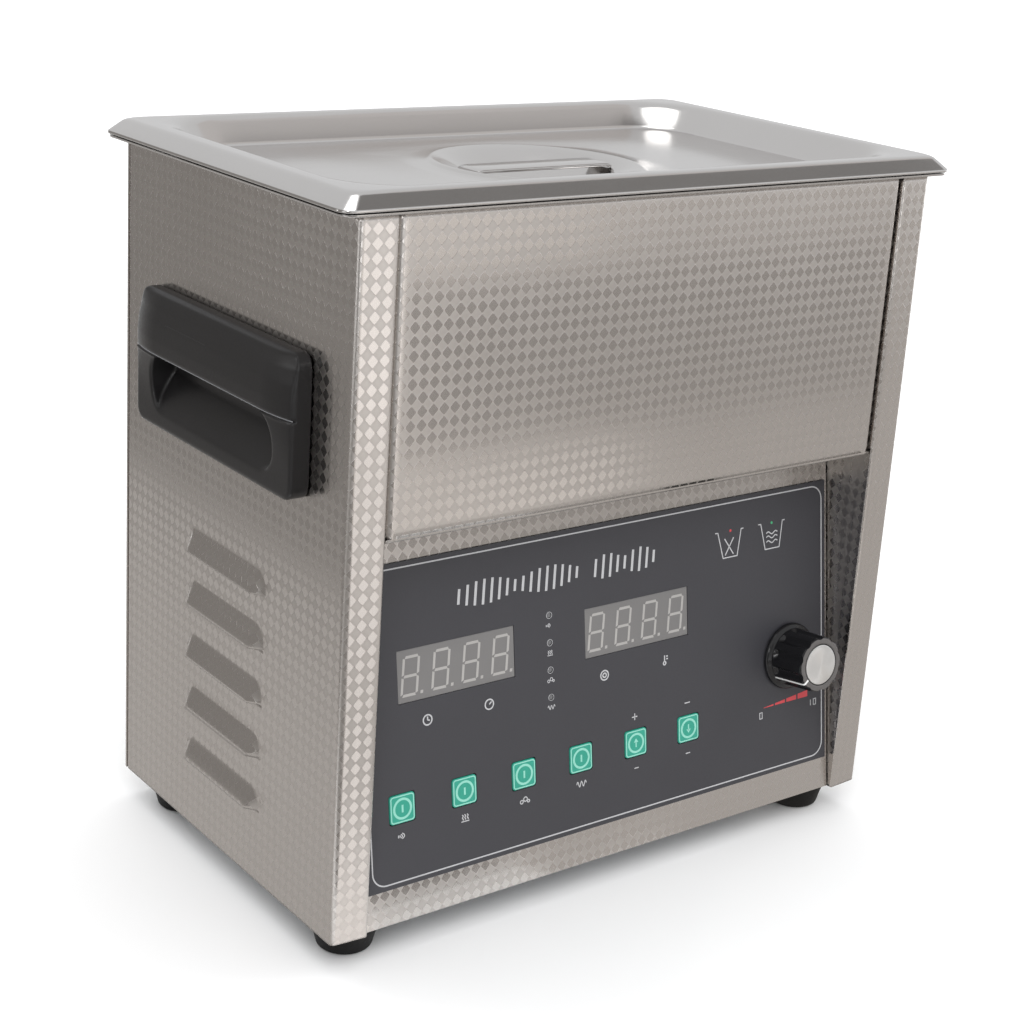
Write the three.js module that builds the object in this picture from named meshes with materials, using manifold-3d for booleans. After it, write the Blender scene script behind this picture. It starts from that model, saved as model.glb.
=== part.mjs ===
// Bench-top ultrasonic cleaner for jewellery work, with a lid, basket, heated tank and tilted control panel.
// Millimetres, +Z up. The front faces -Y. The origin is on the table, under the middle of the cleaner.

import * as THREE from 'three';
import { mergeVertices } from 'three/addons/utils/BufferGeometryUtils.js';
import { ConvexGeometry } from 'three/addons/geometries/ConvexGeometry.js';
import Module from 'manifold-3d';

const wasm = await Module();
wasm.setup();

// ---------------------------------------------------------------- driving dimensions

const GAP = 0.3; // clearance between pieces that touch
const SHEET = 1; // thickness of the folded housing sheet
const EMBED = 0.5; // how far joined solids run into each other

const HOUSING = { halfWidth: 125, halfDepth: 77, height: 247.6, foldRadius: 1.8 };
const FOOT = { reach: 12, topRadius: 11, bottomRadius: 9, x: 108.5, y: 59.6, boreRadius: 2.3, pocketRadius: 4 };
const FLANGE = { innerX: 110.9, shortReturn: 5.5, deepReturn: 26, rearWidth: 12, bottomWidth: 12 };
const LEDGE = { z: 141, reach: 25 };
const BASE = { halfWidth: 121.5, halfDepth: 73.5, thickness: 1.2, top: -GAP };

const LOUVRE = { count: 5, pitch: 20.25, lowestLip: 27.7, halfLength: 27, height: 8, reach: 3.5, metal: 0.9 };
const HANDLE = { halfLength: 54, bottom: 151, top: 200, frame: 7.5, lip: 9.6, lipZ: 178.5, back: 3.2 };
const POCKET = { halfLength: 42, bottom: 157, kneeZ: 170, top: 194.5, back: 1.7, barBack: 4, wall: 1.5 };

const TANK = {
  topX: 120, topY: 68.5, bottomX: 115.5, bottomY: 64, corner: 20, fillet: 12, wall: 0.9,
  floor: 149, flangeTop: 249, flangeBottom: 247.9, flangeX: 132.4, flangeY: 80.5, flangeCorner: 5, lipRadius: 2,
};
const LID = {
  lipX: 132.9, lipY: 81, lipBottom: 249.6, lipTop: 250.5, lipCorner: 5,
  rimX: 127.7, rimY: 76.4, rimCorner: 4, top: 255.2,
  edgeX: 120.4, edgeY: 70.4, edgeCorner: 28, wallTop: 254.6,
  floorX: 113, floorY: 63, floorCorner: 21, floor: 245.2, metal: 0.8,
};
const DISH = { radius: 38, depth: 11 };
const STRAP = { halfLength: 30.6, flatHalf: 28.8, halfWidth: 6.4, rise: 0.2, thickness: 1.4, drop: 0.6 };

const BASKET = {
  topX: 106, topY: 56, bottomX: 102, bottomY: 52, corner: 14, fillet: 5, wall: 1,
  floor: 160, rim: 216, rimWidth: 2.5, rimThickness: 1.6, legX: 84, legY: 36, legRadius: 3,
  holeRadius: 3.2, holePitch: 24, holeColumns: 7, holeRows: 3,
};
const BAIL = { x: 102.8, halfWidth: 38.5, bottom: 200, top: 236, bend: 8, wireRadius: 1.5 };

const PANEL = { slope: 0.155, footY: -76.5, halfWidth: 110.4, top: 141.9, front: 0.7, thickness: 1.2 };
const FILM = { halfWidth: 108.9, bottom: 13.1, top: 126.8, thickness: 0.4 };
const DISPLAY = { width: 49.3, height: 18.7, depth: 8, v: 86.9, timerX: -69.15, heatX: 11.9 };
const LAMP = { x: -28.8, radius: 1.5, filmRadius: 1.2, heights: [97, 86.9, 76.8, 66.7] };
const KEY = { size: 10.3, corner: 1.2, v: 41, firstX: -94, pitch: 26, cap: 1, travel: 0.6, stemRadius: 1.6 };
const BOARD = { left: -104, right: 62, bottom: 30, top: 108, front: 10, thickness: 1.6 };
const SWITCH = { size: 6, height: 3.6, plungerRadius: 1.6, plungerHeight: 0.8 };
const STUD = { radius: 1.6, xs: [-100, 57], vs: [34, 104] };

const KNOB = {
  x: 88.4, v: 59.4, skirtRadius: 13.15, skirtTop: 2.1, skirtBottom: 0.6, bodyRadius: 11.3, frontRadius: 10.7,
  height: 18.1, flutes: 10, fluteRadius: 2.4, fluteOffset: 12.7, capRadius: 7.8, capDepth: 1.2, boreDepth: 14,
};
const POT = { bodyRadius: 8.2, bodyDepth: 9, bushRadius: 3.5, shaftRadius: 2.9, shaftBore: 3.2, nutRadius: 5 };

const TRANSDUCER = {
  xs: [-56, 56], y: 2, hornTop: 22.5, hornBottom: 19, hornHeight: 21, ringRadius: 19, stackHeight: 12,
  massHeight: 14, boltRadius: 4, boltBore: 4.4, headRadius: 7, headHeight: 7, boltReach: 12,
};
const HEATER = { halfWidth: 27, halfDepth: 44, thickness: 1.6 };
const SENSOR = { x: 96, radius: 4.5, height: 9 };

const GENERATOR = { left: -22, right: 104, front: -46, back: 40, z: 8, thickness: 1.6 };
const TRANSFORMER = { x: 66, y: 8, halfWidth: 17, halfDepth: 15, height: 30 };
const SINK = { x: 6, y: -6, halfWidth: 16, halfDepth: 24, base: 4, height: 26, fins: 6, fin: 1.6 };

const FAN = { x: -68, z: 52, half: 30, depth: 15, boreRadius: 28, hubRadius: 12.5, bladeTip: 26.5, blades: 7 };
const GRILLE = { slots: 9, width: 3, pitch: 5.6, radius: 27 };
const INLET = { x: 84, z: 36, halfWidth: 13.6, halfHeight: 9.8, depth: 21, flangeX: 17, flangeZ: 12.5, flange: 2.6 };
const SOCKET = { halfWidth: 12, halfHeight: 7.9, depth: 17, pinLength: 11, pinHalfX: 1, pinHalfZ: 2, pinPitch: 7 };
const ROCKER = { x: 40, z: 36, halfWidth: 5, halfHeight: 7.3, tilt: 8, ridge: 1.6, tip: 2.6, heel: 5 };
const SWITCHBODY = { halfWidth: 6.4, halfHeight: 9.4, depth: 14, bezelX: 7.8, bezelZ: 10.8, bezel: 2, wellX: 5.4, wellZ: 8.2 };
const FUSE = { x: 12, z: 36, barrelRadius: 5.9, depth: 24, flangeRadius: 7.8, flange: 2, boreRadius: 4, capRadius: 6.2 };

const TILT = Math.atan(PANEL.slope);
const ROUND = 20; // sides on round pieces
const FINE = 32; // sides on the round pieces that show most

// The knob's lower front edge is the foremost point, and the fuse cap behind reaches as far back.
const KNOB_REACH = -(PANEL.footY + (KNOB.v - KNOB.frontRadius) * Math.sin(TILT) - KNOB.height * Math.cos(TILT));

// ---------------------------------------------------------------- materials

function finish(color, roughness, metalness) {
  return () => new THREE.MeshStandardMaterial({ color, roughness, metalness });
}

const embossedSteel = finish(0xb1aba3, 0.38, 1);
const drawnSteel = finish(0xbcb8b3, 0.28, 1);
const zincSteel = finish(0xa9abad, 0.4, 1);
const aluminium = finish(0xc9cacb, 0.35, 1);
const blackPlastic = finish(0x2e2e2f, 0.5, 0);
const glossBlack = finish(0x17171a, 0.2, 0);
const rubber = finish(0x232223, 0.75, 0);
const filmGrey = finish(0x4a4b4f, 0.45, 0);
const keyGreen = finish(0x35ad90, 0.4, 0);
const displayGrey = finish(0x8d8a87, 0.3, 0);
const lampLens = finish(0x6a6b6e, 0.2, 0);
const boardGreen = finish(0x1f5a38, 0.5, 0);
const ceramicGrey = finish(0x8b8577, 0.6, 0);
const siliconeOrange = finish(0xb8502a, 0.7, 0);
const ferrite = finish(0x33332f, 0.6, 0.2);

// ---------------------------------------------------------------- solids

function toSolid(geometry) {
  const bare = geometry.clone();
  bare.deleteAttribute('normal');
  bare.deleteAttribute('uv');
  const merged = mergeVertices(bare);
  const corners = merged.index.array;
  const triangles = [];
  for (let i = 0; i < corners.length; i += 3) {
    const [a, b, c] = corners.slice(i, i + 3);
    if (a !== b && b !== c && c !== a) {
      triangles.push(a, b, c);
    }
  }
  const mesh = new wasm.Mesh({
    numProp: 3,
    vertProperties: new Float32Array(merged.attributes.position.array),
    triVerts: new Uint32Array(triangles),
  });
  return new wasm.Manifold(mesh);
}

function toGeometry(solid) {
  const mesh = solid.getMesh();
  const geometry = new THREE.BufferGeometry();
  geometry.setAttribute('position', new THREE.BufferAttribute(new Float32Array(mesh.vertProperties), 3));
  geometry.setIndex(new THREE.BufferAttribute(new Uint32Array(mesh.triVerts), 1));
  geometry.computeVertexNormals();
  return geometry;
}

function join(...geometries) {
  return toGeometry(geometries.map(toSolid).reduce((whole, piece) => whole.add(piece)));
}

function cut(body, ...tools) {
  return toGeometry(tools.map(toSolid).reduce((left, tool) => left.subtract(tool), toSolid(body)));
}

function common(first, second) {
  return toGeometry(toSolid(first).intersect(toSolid(second)));
}

function mirrored(geometry) {
  const copy = mergeVertices(geometry.clone());
  copy.scale(-1, 1, 1);
  const index = copy.index.array;
  for (let i = 0; i < index.length; i += 3) {
    [index[i], index[i + 1]] = [index[i + 1], index[i]];
  }
  return copy;
}

// A block given by its lowest and highest x, y and z.
function block([x0, x1], [y0, y1], [z0, z1]) {
  const geometry = new THREE.BoxGeometry(x1 - x0, y1 - y0, z1 - z0);
  return geometry.translate((x0 + x1) / 2, (y0 + y1) / 2, (z0 + z1) / 2);
}

// A block centred in x and y on the origin.
function slab(halfX, halfY, z) {
  return block([-halfX, halfX], [-halfY, halfY], z);
}

// A round bar along +Z from z0 to z1.
function rod(radius, [z0, z1], sides = ROUND) {
  const geometry = new THREE.CylinderGeometry(radius, radius, z1 - z0, sides);
  return geometry.rotateX(Math.PI / 2).translate(0, 0, (z0 + z1) / 2);
}

// A round bar along +Y from y0 to y1.
function crossRod(radius, [y0, y1], sides = ROUND) {
  return new THREE.CylinderGeometry(radius, radius, y1 - y0, sides).translate(0, (y0 + y1) / 2, 0);
}

// A solid of revolution about Z; the profile is a list of [radius, z], from the axis back to the axis.
function turned(profile, sides = ROUND) {
  const points = profile.map(([radius, z]) => new THREE.Vector2(radius, z));
  return new THREE.LatheGeometry(points, sides).rotateX(Math.PI / 2);
}

function outline(points) {
  return new THREE.Shape(points.map(([x, y]) => new THREE.Vector2(x, y)));
}

function roundedRectangle(halfX, halfY, radius) {
  const shape = new THREE.Shape();
  const right = Math.PI / 2;
  shape.absarc(halfX - radius, halfY - radius, radius, 0, right);
  shape.absarc(radius - halfX, halfY - radius, radius, right, 2 * right);
  shape.absarc(radius - halfX, radius - halfY, radius, 2 * right, 3 * right);
  shape.absarc(halfX - radius, radius - halfY, radius, 3 * right, 4 * right);
  shape.closePath();
  return shape;
}

function extrude(shape, [z0, z1], curveSegments = 4) {
  const geometry = new THREE.ExtrudeGeometry(shape, { depth: z1 - z0, bevelEnabled: false, curveSegments });
  return geometry.translate(0, 0, z0);
}

// A prism along X: the outline is given in (y, z).
function prismAlongX(points, [x0, x1]) {
  const geometry = extrude(outline(points), [x0, x1]);
  return geometry.applyMatrix4(new THREE.Matrix4().set(0, 0, 1, 0, 1, 0, 0, 0, 0, 1, 0, 0, 0, 0, 0, 1));
}

// A prism along Y: the outline is given in (x, z).
function prismAlongY(points, [y0, y1]) {
  return extrude(outline(points), [-y1, -y0]).rotateX(Math.PI / 2);
}

// A skin through rounded rectangles { x, y, r, z }, closed by a flat face at the first and the last.
function loft(sections, arcSteps = 5) {
  const positions = [];
  const ring = 4 * (arcSteps + 1);
  for (const { x, y, r, z } of sections) {
    for (let corner = 0; corner < 4; corner += 1) {
      const centreX = (corner === 0 || corner === 3 ? 1 : -1) * (x - r);
      const centreY = (corner < 2 ? 1 : -1) * (y - r);
      for (let step = 0; step <= arcSteps; step += 1) {
        const angle = (corner + step / arcSteps) * (Math.PI / 2);
        positions.push(centreX + r * Math.cos(angle), centreY + r * Math.sin(angle), z);
      }
    }
  }
  const index = [];
  for (let level = 0; level < sections.length - 1; level += 1) {
    for (let j = 0; j < ring; j += 1) {
      const next = (j + 1) % ring;
      const low = level * ring;
      const high = low + ring;
      index.push(low + j, low + next, high + next, low + j, high + next, high + j);
    }
  }
  const last = (sections.length - 1) * ring;
  for (let j = 1; j < ring - 1; j += 1) {
    index.push(0, j + 1, j, last, last + j, last + j + 1);
  }
  const geometry = new THREE.BufferGeometry();
  geometry.setAttribute('position', new THREE.Float32BufferAttribute(positions, 3));
  geometry.setIndex(index);
  return geometry;
}

// A bent wire: straight up, across and down again, with rounded bends, closed at both ends.
function bentWire(points, radius, steps, sides = 8) {
  const path = new THREE.CatmullRomCurve3(points, false, 'catmullrom', 0.5);
  const section = new THREE.Shape();
  section.absarc(0, 0, radius, 0, 2 * Math.PI);
  const options = { steps, bevelEnabled: false, extrudePath: path, curveSegments: sides };
  return new THREE.ExtrudeGeometry(section, options);
}

function add(group, name, geometry, material, position = [0, 0, 0]) {
  const mesh = new THREE.Mesh(geometry, material());
  mesh.name = name;
  mesh.position.set(...position);
  group.add(mesh);
  return mesh;
}

// ---------------------------------------------------------------- housing

// One pressed louvre on the left side: a hood that leans out towards its lip and is open below.
function louvreHull(lipZ, inset) {
  const face = -HOUSING.halfWidth;
  const half = LOUVRE.halfLength - inset;
  const top = lipZ + LOUVRE.height - inset * 1.5;
  const shoulder = 5;
  const sheetLine = face + (inset > 0 ? SHEET + EMBED : EMBED);
  const lipLine = face - LOUVRE.reach + inset;
  const low = lipZ - (inset > 0 ? EMBED : 0);
  const points = [];
  for (const side of [-1, 1]) {
    for (const x of [sheetLine, face]) {
      points.push([x, side * half, low], [x, side * half, top - shoulder]);
      points.push([x, side * (half - shoulder * 0.3), top - shoulder * 0.3], [x, side * (half - shoulder), top]);
    }
    points.push([lipLine, side * (half - 3), low], [lipLine, side * (half - 3), lipZ + 0.8]);
    points.push([lipLine + 1, side * (half - 1), low]);
  }
  return new ConvexGeometry(points.map((point) => new THREE.Vector3(...point)));
}

// The left side: sheet, front strip, inward returns beside the panels, rear and bottom flanges.
function sidePanelGeometry() {
  const { halfWidth, halfDepth, height, foldRadius } = HOUSING;
  const innerFold = foldRadius - SHEET;
  const plan = new THREE.Shape();
  plan.moveTo(-halfWidth, halfDepth - SHEET - GAP);
  plan.lineTo(-halfWidth, -halfDepth + foldRadius);
  plan.absarc(-halfWidth + foldRadius, -halfDepth + foldRadius, foldRadius, Math.PI, 1.5 * Math.PI);
  plan.lineTo(-FLANGE.innerX, -halfDepth);
  plan.lineTo(-FLANGE.innerX, -halfDepth + FLANGE.deepReturn);
  plan.lineTo(-FLANGE.innerX - SHEET, -halfDepth + FLANGE.deepReturn);
  plan.lineTo(-FLANGE.innerX - SHEET, -halfDepth + SHEET);
  plan.lineTo(-halfWidth + foldRadius, -halfDepth + SHEET);
  plan.absarc(-halfWidth + foldRadius, -halfDepth + foldRadius, innerFold, 1.5 * Math.PI, Math.PI, true);
  plan.lineTo(-halfWidth + SHEET, halfDepth - 2 * SHEET - GAP);
  plan.lineTo(-halfWidth + FLANGE.rearWidth, halfDepth - 2 * SHEET - GAP);
  plan.lineTo(-halfWidth + FLANGE.rearWidth, halfDepth - SHEET - GAP);
  plan.closePath();
  const shell = extrude(plan, [0, height]);

  const inside = -halfWidth + SHEET - EMBED;
  const bottomFlange = block([inside, -halfWidth + FLANGE.bottomWidth], [-50, 70], [0, SHEET]);
  const aboveLedge = block(
    [-FLANGE.innerX - 2 * SHEET, -FLANGE.innerX + SHEET],
    [-halfDepth + FLANGE.shortReturn, -halfDepth + FLANGE.deepReturn + SHEET],
    [LEDGE.z + 1.5, height + SHEET],
  );
  const margin = 3.3;
  const handleWindow = block(
    [-halfWidth - SHEET, -halfWidth + 2 * SHEET],
    [-POCKET.halfLength - margin, POCKET.halfLength + margin],
    [POCKET.bottom - margin + POCKET.wall, HANDLE.top - margin],
  );
  let panel = join(cut(shell, aboveLedge, handleWindow), bottomFlange);
  for (let i = 0; i < LOUVRE.count; i += 1) {
    const lipZ = LOUVRE.lowestLip + i * LOUVRE.pitch;
    panel = cut(join(panel, louvreHull(lipZ, 0)), louvreHull(lipZ, LOUVRE.metal));
  }
  return panel;
}

function backPanelGeometry() {
  const { halfWidth, halfDepth, height } = HOUSING;
  const sheet = block([-halfWidth, halfWidth], [halfDepth - SHEET, halfDepth], [0, height]);
  const through = [halfDepth - 2 * SHEET, halfDepth + SHEET];
  const around = ({ x, z }, halfX, halfZ) => block([x - halfX, x + halfX], through, [z - halfZ, z + halfZ]);
  const holes = [
    around(INLET, INLET.halfWidth + GAP, INLET.halfHeight + GAP),
    around(ROCKER, SWITCHBODY.halfWidth + GAP, SWITCHBODY.halfHeight + GAP),
    crossRod(FUSE.barrelRadius + GAP, through, 16).translate(FUSE.x, 0, FUSE.z),
  ];
  for (let i = 0; i < GRILLE.slots; i += 1) {
    const offset = (i - (GRILLE.slots - 1) / 2) * GRILLE.pitch;
    const halfLength = Math.sqrt(GRILLE.radius ** 2 - offset ** 2);
    holes.push(around({ x: FAN.x, z: FAN.z + offset }, halfLength, GRILLE.width / 2));
  }
  return cut(sheet, ...holes);
}

// The upper front panel: a shallow tray whose lower edge folds back into the ledge over the control panel.
function frontUpperPanelGeometry() {
  const half = FLANGE.innerX - 0.7;
  const front = -HOUSING.halfDepth;
  const inner = half - SHEET;
  const fold = 1.4;
  const plan = new THREE.Shape();
  plan.moveTo(-half, front + FLANGE.shortReturn - SHEET);
  plan.lineTo(-half, front + fold);
  plan.absarc(-half + fold, front + fold, fold, Math.PI, 1.5 * Math.PI);
  plan.lineTo(half - fold, front);
  plan.absarc(half - fold, front + fold, fold, 1.5 * Math.PI, 2 * Math.PI);
  plan.lineTo(half, front + FLANGE.shortReturn - SHEET);
  plan.lineTo(inner, front + FLANGE.shortReturn - SHEET);
  plan.lineTo(inner, front + SHEET);
  plan.lineTo(-inner, front + SHEET);
  plan.lineTo(-inner, front + FLANGE.shortReturn - SHEET);
  plan.closePath();
  const tray = extrude(plan, [LEDGE.z, HOUSING.height], 3);
  const ledge = block([-half, half], [front + fold, front + LEDGE.reach], [LEDGE.z, LEDGE.z + SHEET]);
  const edge = prismAlongX(
    [[front - SHEET, LEDGE.z - SHEET], [front + fold, LEDGE.z - SHEET], [front - SHEET, LEDGE.z + fold]],
    [-half - SHEET, half + SHEET],
  );
  return cut(join(tray, ledge), edge);
}

function basePlateGeometry() {
  const plate = slab(BASE.halfWidth, BASE.halfDepth, [BASE.top - BASE.thickness, BASE.top]);
  const holes = [];
  for (const [x, y] of footPlaces()) {
    holes.push(rod(FOOT.boreRadius, [BASE.top - 2 * BASE.thickness, BASE.top + SHEET], 12).translate(x, y, 0));
  }
  const pillars = [];
  const inset = 6;
  for (const x of [GENERATOR.left + inset, GENERATOR.right - inset]) {
    for (const y of [GENERATOR.front + inset, GENERATOR.back - inset]) {
      pillars.push(rod(2.5, [BASE.top - EMBED, GENERATOR.z - GAP], 8).translate(x, y, 0));
    }
  }
  return cut(join(plate, ...pillars), ...holes);
}

function footPlaces() {
  return [[-FOOT.x, -FOOT.y], [FOOT.x, -FOOT.y], [-FOOT.x, FOOT.y], [FOOT.x, FOOT.y]];
}

function footGeometry() {
  const bottom = -FOOT.reach;
  const top = BASE.top - BASE.thickness - GAP;
  const pocketTop = bottom + 5.5;
  const rounding = 2;
  const body = turned([
    [0, bottom], [FOOT.bottomRadius - rounding, bottom], [FOOT.bottomRadius - 0.6, bottom + 0.6],
    [FOOT.bottomRadius, bottom + rounding], [FOOT.topRadius, top - 1], [FOOT.topRadius - 0.5, top], [0, top],
  ]);
  const bore = rod(FOOT.boreRadius, [bottom, top + 1], 12);
  const pocket = rod(FOOT.pocketRadius, [bottom - 1, pocketTop], 12);
  return cut(body, bore, pocket);
}

function footScrewGeometry() {
  const headTop = -FOOT.reach + 5.5 - GAP;
  const headHeight = 2.6;
  const body = turned([
    [0, headTop - headHeight], [2.4, headTop - headHeight], [3.5, headTop - headHeight + 1.2], [3.5, headTop],
    [1.8, headTop], [1.8, 5], [0, 5],
  ], 12);
  const driverSlot = block([-2.6, 2.6], [-0.5, 0.5], [headTop - headHeight - 1, headTop - headHeight + 1.1]);
  return cut(body, driverSlot);
}

// The left handle: a moulded frame with a lipped grip bar above a pocket that slopes in behind it.
function handleGeometry() {
  const face = -HOUSING.halfWidth;
  const out = (reach) => face - reach;
  const { bottom, top, frame, lip, lipZ, halfLength } = HANDLE;
  const side = [
    [out(GAP), bottom], [out(frame - 0.7), bottom], [out(frame), bottom + 0.7], [out(frame), lipZ - 0.6],
    [out(lip), lipZ], [out(lip + 0.1), lipZ + 5], [out(lip - 0.4), lipZ + 11], [out(lip - 1.7), lipZ + 16.5],
    [out(lip - 3.6), lipZ + 20.2], [out(lip - 5.4), top], [out(GAP), top],
  ];
  const bar = prismAlongY(side, [-halfLength, halfLength]);
  const middle = (bottom + top) / 2;
  const frontView = roundedRectangle(halfLength, (top - bottom) / 2, 5);
  const bevel = 2.5;
  const frontBlank = new THREE.ExtrudeGeometry(frontView, {
    depth: lip + 1 - bevel, bevelEnabled: true, bevelThickness: bevel, bevelSize: bevel, bevelOffset: -bevel,
    bevelSegments: 3, curveSegments: 5,
  });
  // The blank is drawn in (y, z) and rises towards -X; only its front end is bevelled here.
  const turn = new THREE.Matrix4().set(0, 0, -1, face, -1, 0, 0, 0, 0, 1, 0, middle, 0, 0, 0, 1);
  frontBlank.applyMatrix4(turn);
  const rounded = common(bar, frontBlank);

  const halfTub = POCKET.halfLength + 3;
  const tub = block(
    [out(GAP + EMBED), face + HANDLE.back],
    [-halfTub, halfTub],
    [POCKET.bottom - 3 + POCKET.wall, HANDLE.top - 3.6],
  );
  const hollowSide = [
    [out(lip + 4), POCKET.bottom], [out(frame), POCKET.bottom], [face + POCKET.back, POCKET.kneeZ],
    [face + POCKET.back, POCKET.top], [out(POCKET.barBack), POCKET.top], [out(POCKET.barBack), lipZ + 2.5],
    [out(lip - 1.4), lipZ - 0.2], [out(lip + 4), lipZ - 0.2],
  ];
  const hollow = prismAlongY(hollowSide, [-POCKET.halfLength, POCKET.halfLength]);
  const hollowView = roundedRectangle(POCKET.halfLength, (POCKET.top - POCKET.bottom) / 2 + 8, 9);
  const limit = extrude(hollowView, [-HANDLE.back - 2, lip + 6], 4);
  const limitTurn = turn.clone();
  limitTurn.setPosition(face, 0, (POCKET.top + POCKET.bottom) / 2 + 8);
  limit.applyMatrix4(limitTurn);
  return cut(join(rounded, tub), common(hollow, limit));
}

function buildHousing(group) {
  const side = sidePanelGeometry();
  add(group, 'left_side_panel', side, embossedSteel);
  add(group, 'right_side_panel', mirrored(side), embossedSteel);
  add(group, 'back_panel', backPanelGeometry(), embossedSteel);
  add(group, 'front_upper_panel', frontUpperPanelGeometry(), embossedSteel);
  add(group, 'base_plate', basePlateGeometry(), embossedSteel);
  const handle = handleGeometry();
  add(group, 'handle_left', handle, blackPlastic);
  add(group, 'handle_right', mirrored(handle), blackPlastic);
  const names = ['front_left', 'front_right', 'rear_left', 'rear_right'];
  footPlaces().forEach(([x, y], i) => {
    add(group, `foot_${names[i]}`, footGeometry(), rubber, [x, y, 0]);
    add(group, `foot_screw_${names[i]}`, footScrewGeometry(), zincSteel, [x, y, 0]);
  });
}

// ---------------------------------------------------------------- tank, lid and basket

// Rounded-rectangle sections up the wall of a drawn pan, from its floor fillet to its top.
function panWall(pan, offset, top) {
  const steps = 4;
  const radius = pan.fillet + offset;
  const sections = [];
  for (let step = 0; step <= steps; step += 1) {
    const angle = (step / steps - 1) * (Math.PI / 2);
    const across = radius * Math.cos(angle) - pan.fillet;
    sections.push({
      x: pan.bottomX + across,
      y: pan.bottomY + across,
      r: Math.max(pan.corner + across, 1),
      z: pan.floor + pan.fillet + radius * Math.sin(angle),
    });
  }
  sections.push({ x: pan.topX + offset, y: pan.topY + offset, r: pan.corner + offset, z: top });
  return sections;
}

function tankGeometry() {
  const lip = TANK.lipRadius;
  const flange = { x: TANK.flangeX, y: TANK.flangeY, r: TANK.flangeCorner };
  return loft([
    ...panWall(TANK, TANK.wall, TANK.flangeBottom),
    { ...flange, z: TANK.flangeBottom },
    { ...flange, z: TANK.flangeTop },
    { x: TANK.topX + lip, y: TANK.topY + lip, r: TANK.corner + lip, z: TANK.flangeTop },
    { x: TANK.topX + lip * 0.3, y: TANK.topY + lip * 0.3, r: TANK.corner + lip * 0.3, z: TANK.flangeTop - lip * 0.3 },
    ...panWall(TANK, 0, TANK.flangeTop - lip).reverse(),
  ]);
}

// The dish in the middle of the lid, as [radius, z] from its centre out to its edge.
function dishProfile(grow) {
  const points = [];
  const steps = 6;
  for (let step = 0; step <= steps; step += 1) {
    const across = step / steps;
    const depth = DISH.depth * (0.5 + 0.5 * Math.cos(Math.PI * across ** 1.6));
    points.push([(DISH.radius + grow) * across, LID.floor - depth - grow]);
  }
  return points;
}

function lidPanGeometry() {
  const t = LID.metal;
  const section = (x, y, r, z) => ({ x, y, r, z });
  const pan = loft([
    section(LID.floorX, LID.floorY, LID.floorCorner, LID.floor - t),
    section(LID.floorX + 2.6, LID.floorY + 2.6, LID.floorCorner + 2.6, LID.floor + 0.4),
    section(LID.edgeX, LID.edgeY, LID.edgeCorner, LID.wallTop - t),
    section(LID.rimX - t / 2, LID.rimY - t / 2, LID.rimCorner, LID.top - t),
    section(LID.lipX - t, LID.lipY - t, LID.lipCorner - t, LID.lipTop - t / 2),
    section(LID.lipX - t, LID.lipY - t, LID.lipCorner - t, LID.lipBottom),
    section(LID.lipX, LID.lipY, LID.lipCorner, LID.lipBottom),
    section(LID.lipX, LID.lipY, LID.lipCorner, LID.lipTop),
    section(LID.rimX, LID.rimY, LID.rimCorner, LID.top),
    section(LID.edgeX, LID.edgeY, LID.edgeCorner, LID.top),
    section(LID.edgeX - t, LID.edgeY - t, LID.edgeCorner - t, LID.wallTop),
    section(LID.floorX + 1.6, LID.floorY + 1.6, LID.floorCorner + 1.6, LID.floor + 1),
    section(LID.floorX, LID.floorY, LID.floorCorner, LID.floor),
  ], 5);
  const shell = turned([...dishProfile(t), [0, LID.floor - t]], FINE);
  const bowl = turned([...dishProfile(0), [DISH.radius, LID.floor + 1], [0, LID.floor + 1]], FINE);
  return cut(join(pan, shell), bowl);
}

// A flat bar over the dish; its ends dip and are spot-welded to the wall of the dish.
function lidStrapGeometry() {
  const { halfLength, flatHalf, halfWidth, rise, thickness, drop } = STRAP;
  const top = LID.floor + rise;
  const under = top - thickness;
  const inner = 0.4;
  return prismAlongY([
    [-halfLength, top - drop], [-flatHalf, top], [flatHalf, top], [halfLength, top - drop],
    [halfLength - inner, under - inner], [flatHalf - inner, under], [inner - flatHalf, under],
    [inner - halfLength, under - inner],
  ], [-halfWidth, halfWidth]);
}

function basketGeometry() {
  const rim = BASKET.rim;
  const out = (grow, z) => ({ x: BASKET.topX + grow, y: BASKET.topY + grow, r: BASKET.corner + grow, z });
  const pan = loft([
    ...panWall(BASKET, BASKET.wall, rim - BASKET.rimThickness),
    out(BASKET.rimWidth, rim - BASKET.rimThickness),
    out(BASKET.rimWidth, rim),
    ...panWall(BASKET, 0, rim).reverse(),
  ], 4);
  const legs = [];
  for (const x of [-BASKET.legX, BASKET.legX]) {
    for (const y of [-BASKET.legY, BASKET.legY]) {
      const leg = rod(BASKET.legRadius, [TANK.floor + GAP, BASKET.floor - BASKET.wall + EMBED], 10);
      legs.push(leg.translate(x, y, 0));
    }
  }
  const holes = [];
  const { holeRadius, holePitch, holeColumns, holeRows } = BASKET;
  const places = (count) => Array.from({ length: count }, (_, i) => (i - (count - 1) / 2) * holePitch);
  const hole = (reach) => rod(holeRadius, [-reach, reach], 6);
  for (const x of places(holeColumns)) {
    for (const y of places(holeRows)) {
      holes.push(hole(2 * BASKET.wall).translate(x, y, BASKET.floor));
    }
    for (const z of places(2)) {
      holes.push(hole(BASKET.topY * 2).rotateX(Math.PI / 2).translate(x, 0, (BASKET.floor + rim) / 2 + z));
    }
  }
  for (const y of places(holeRows)) {
    for (const z of places(2)) {
      holes.push(hole(BASKET.topX * 2).rotateY(Math.PI / 2).translate(0, y, (BASKET.floor + rim) / 2 + z));
    }
  }
  return cut(join(pan, ...legs), ...holes);
}

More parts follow.
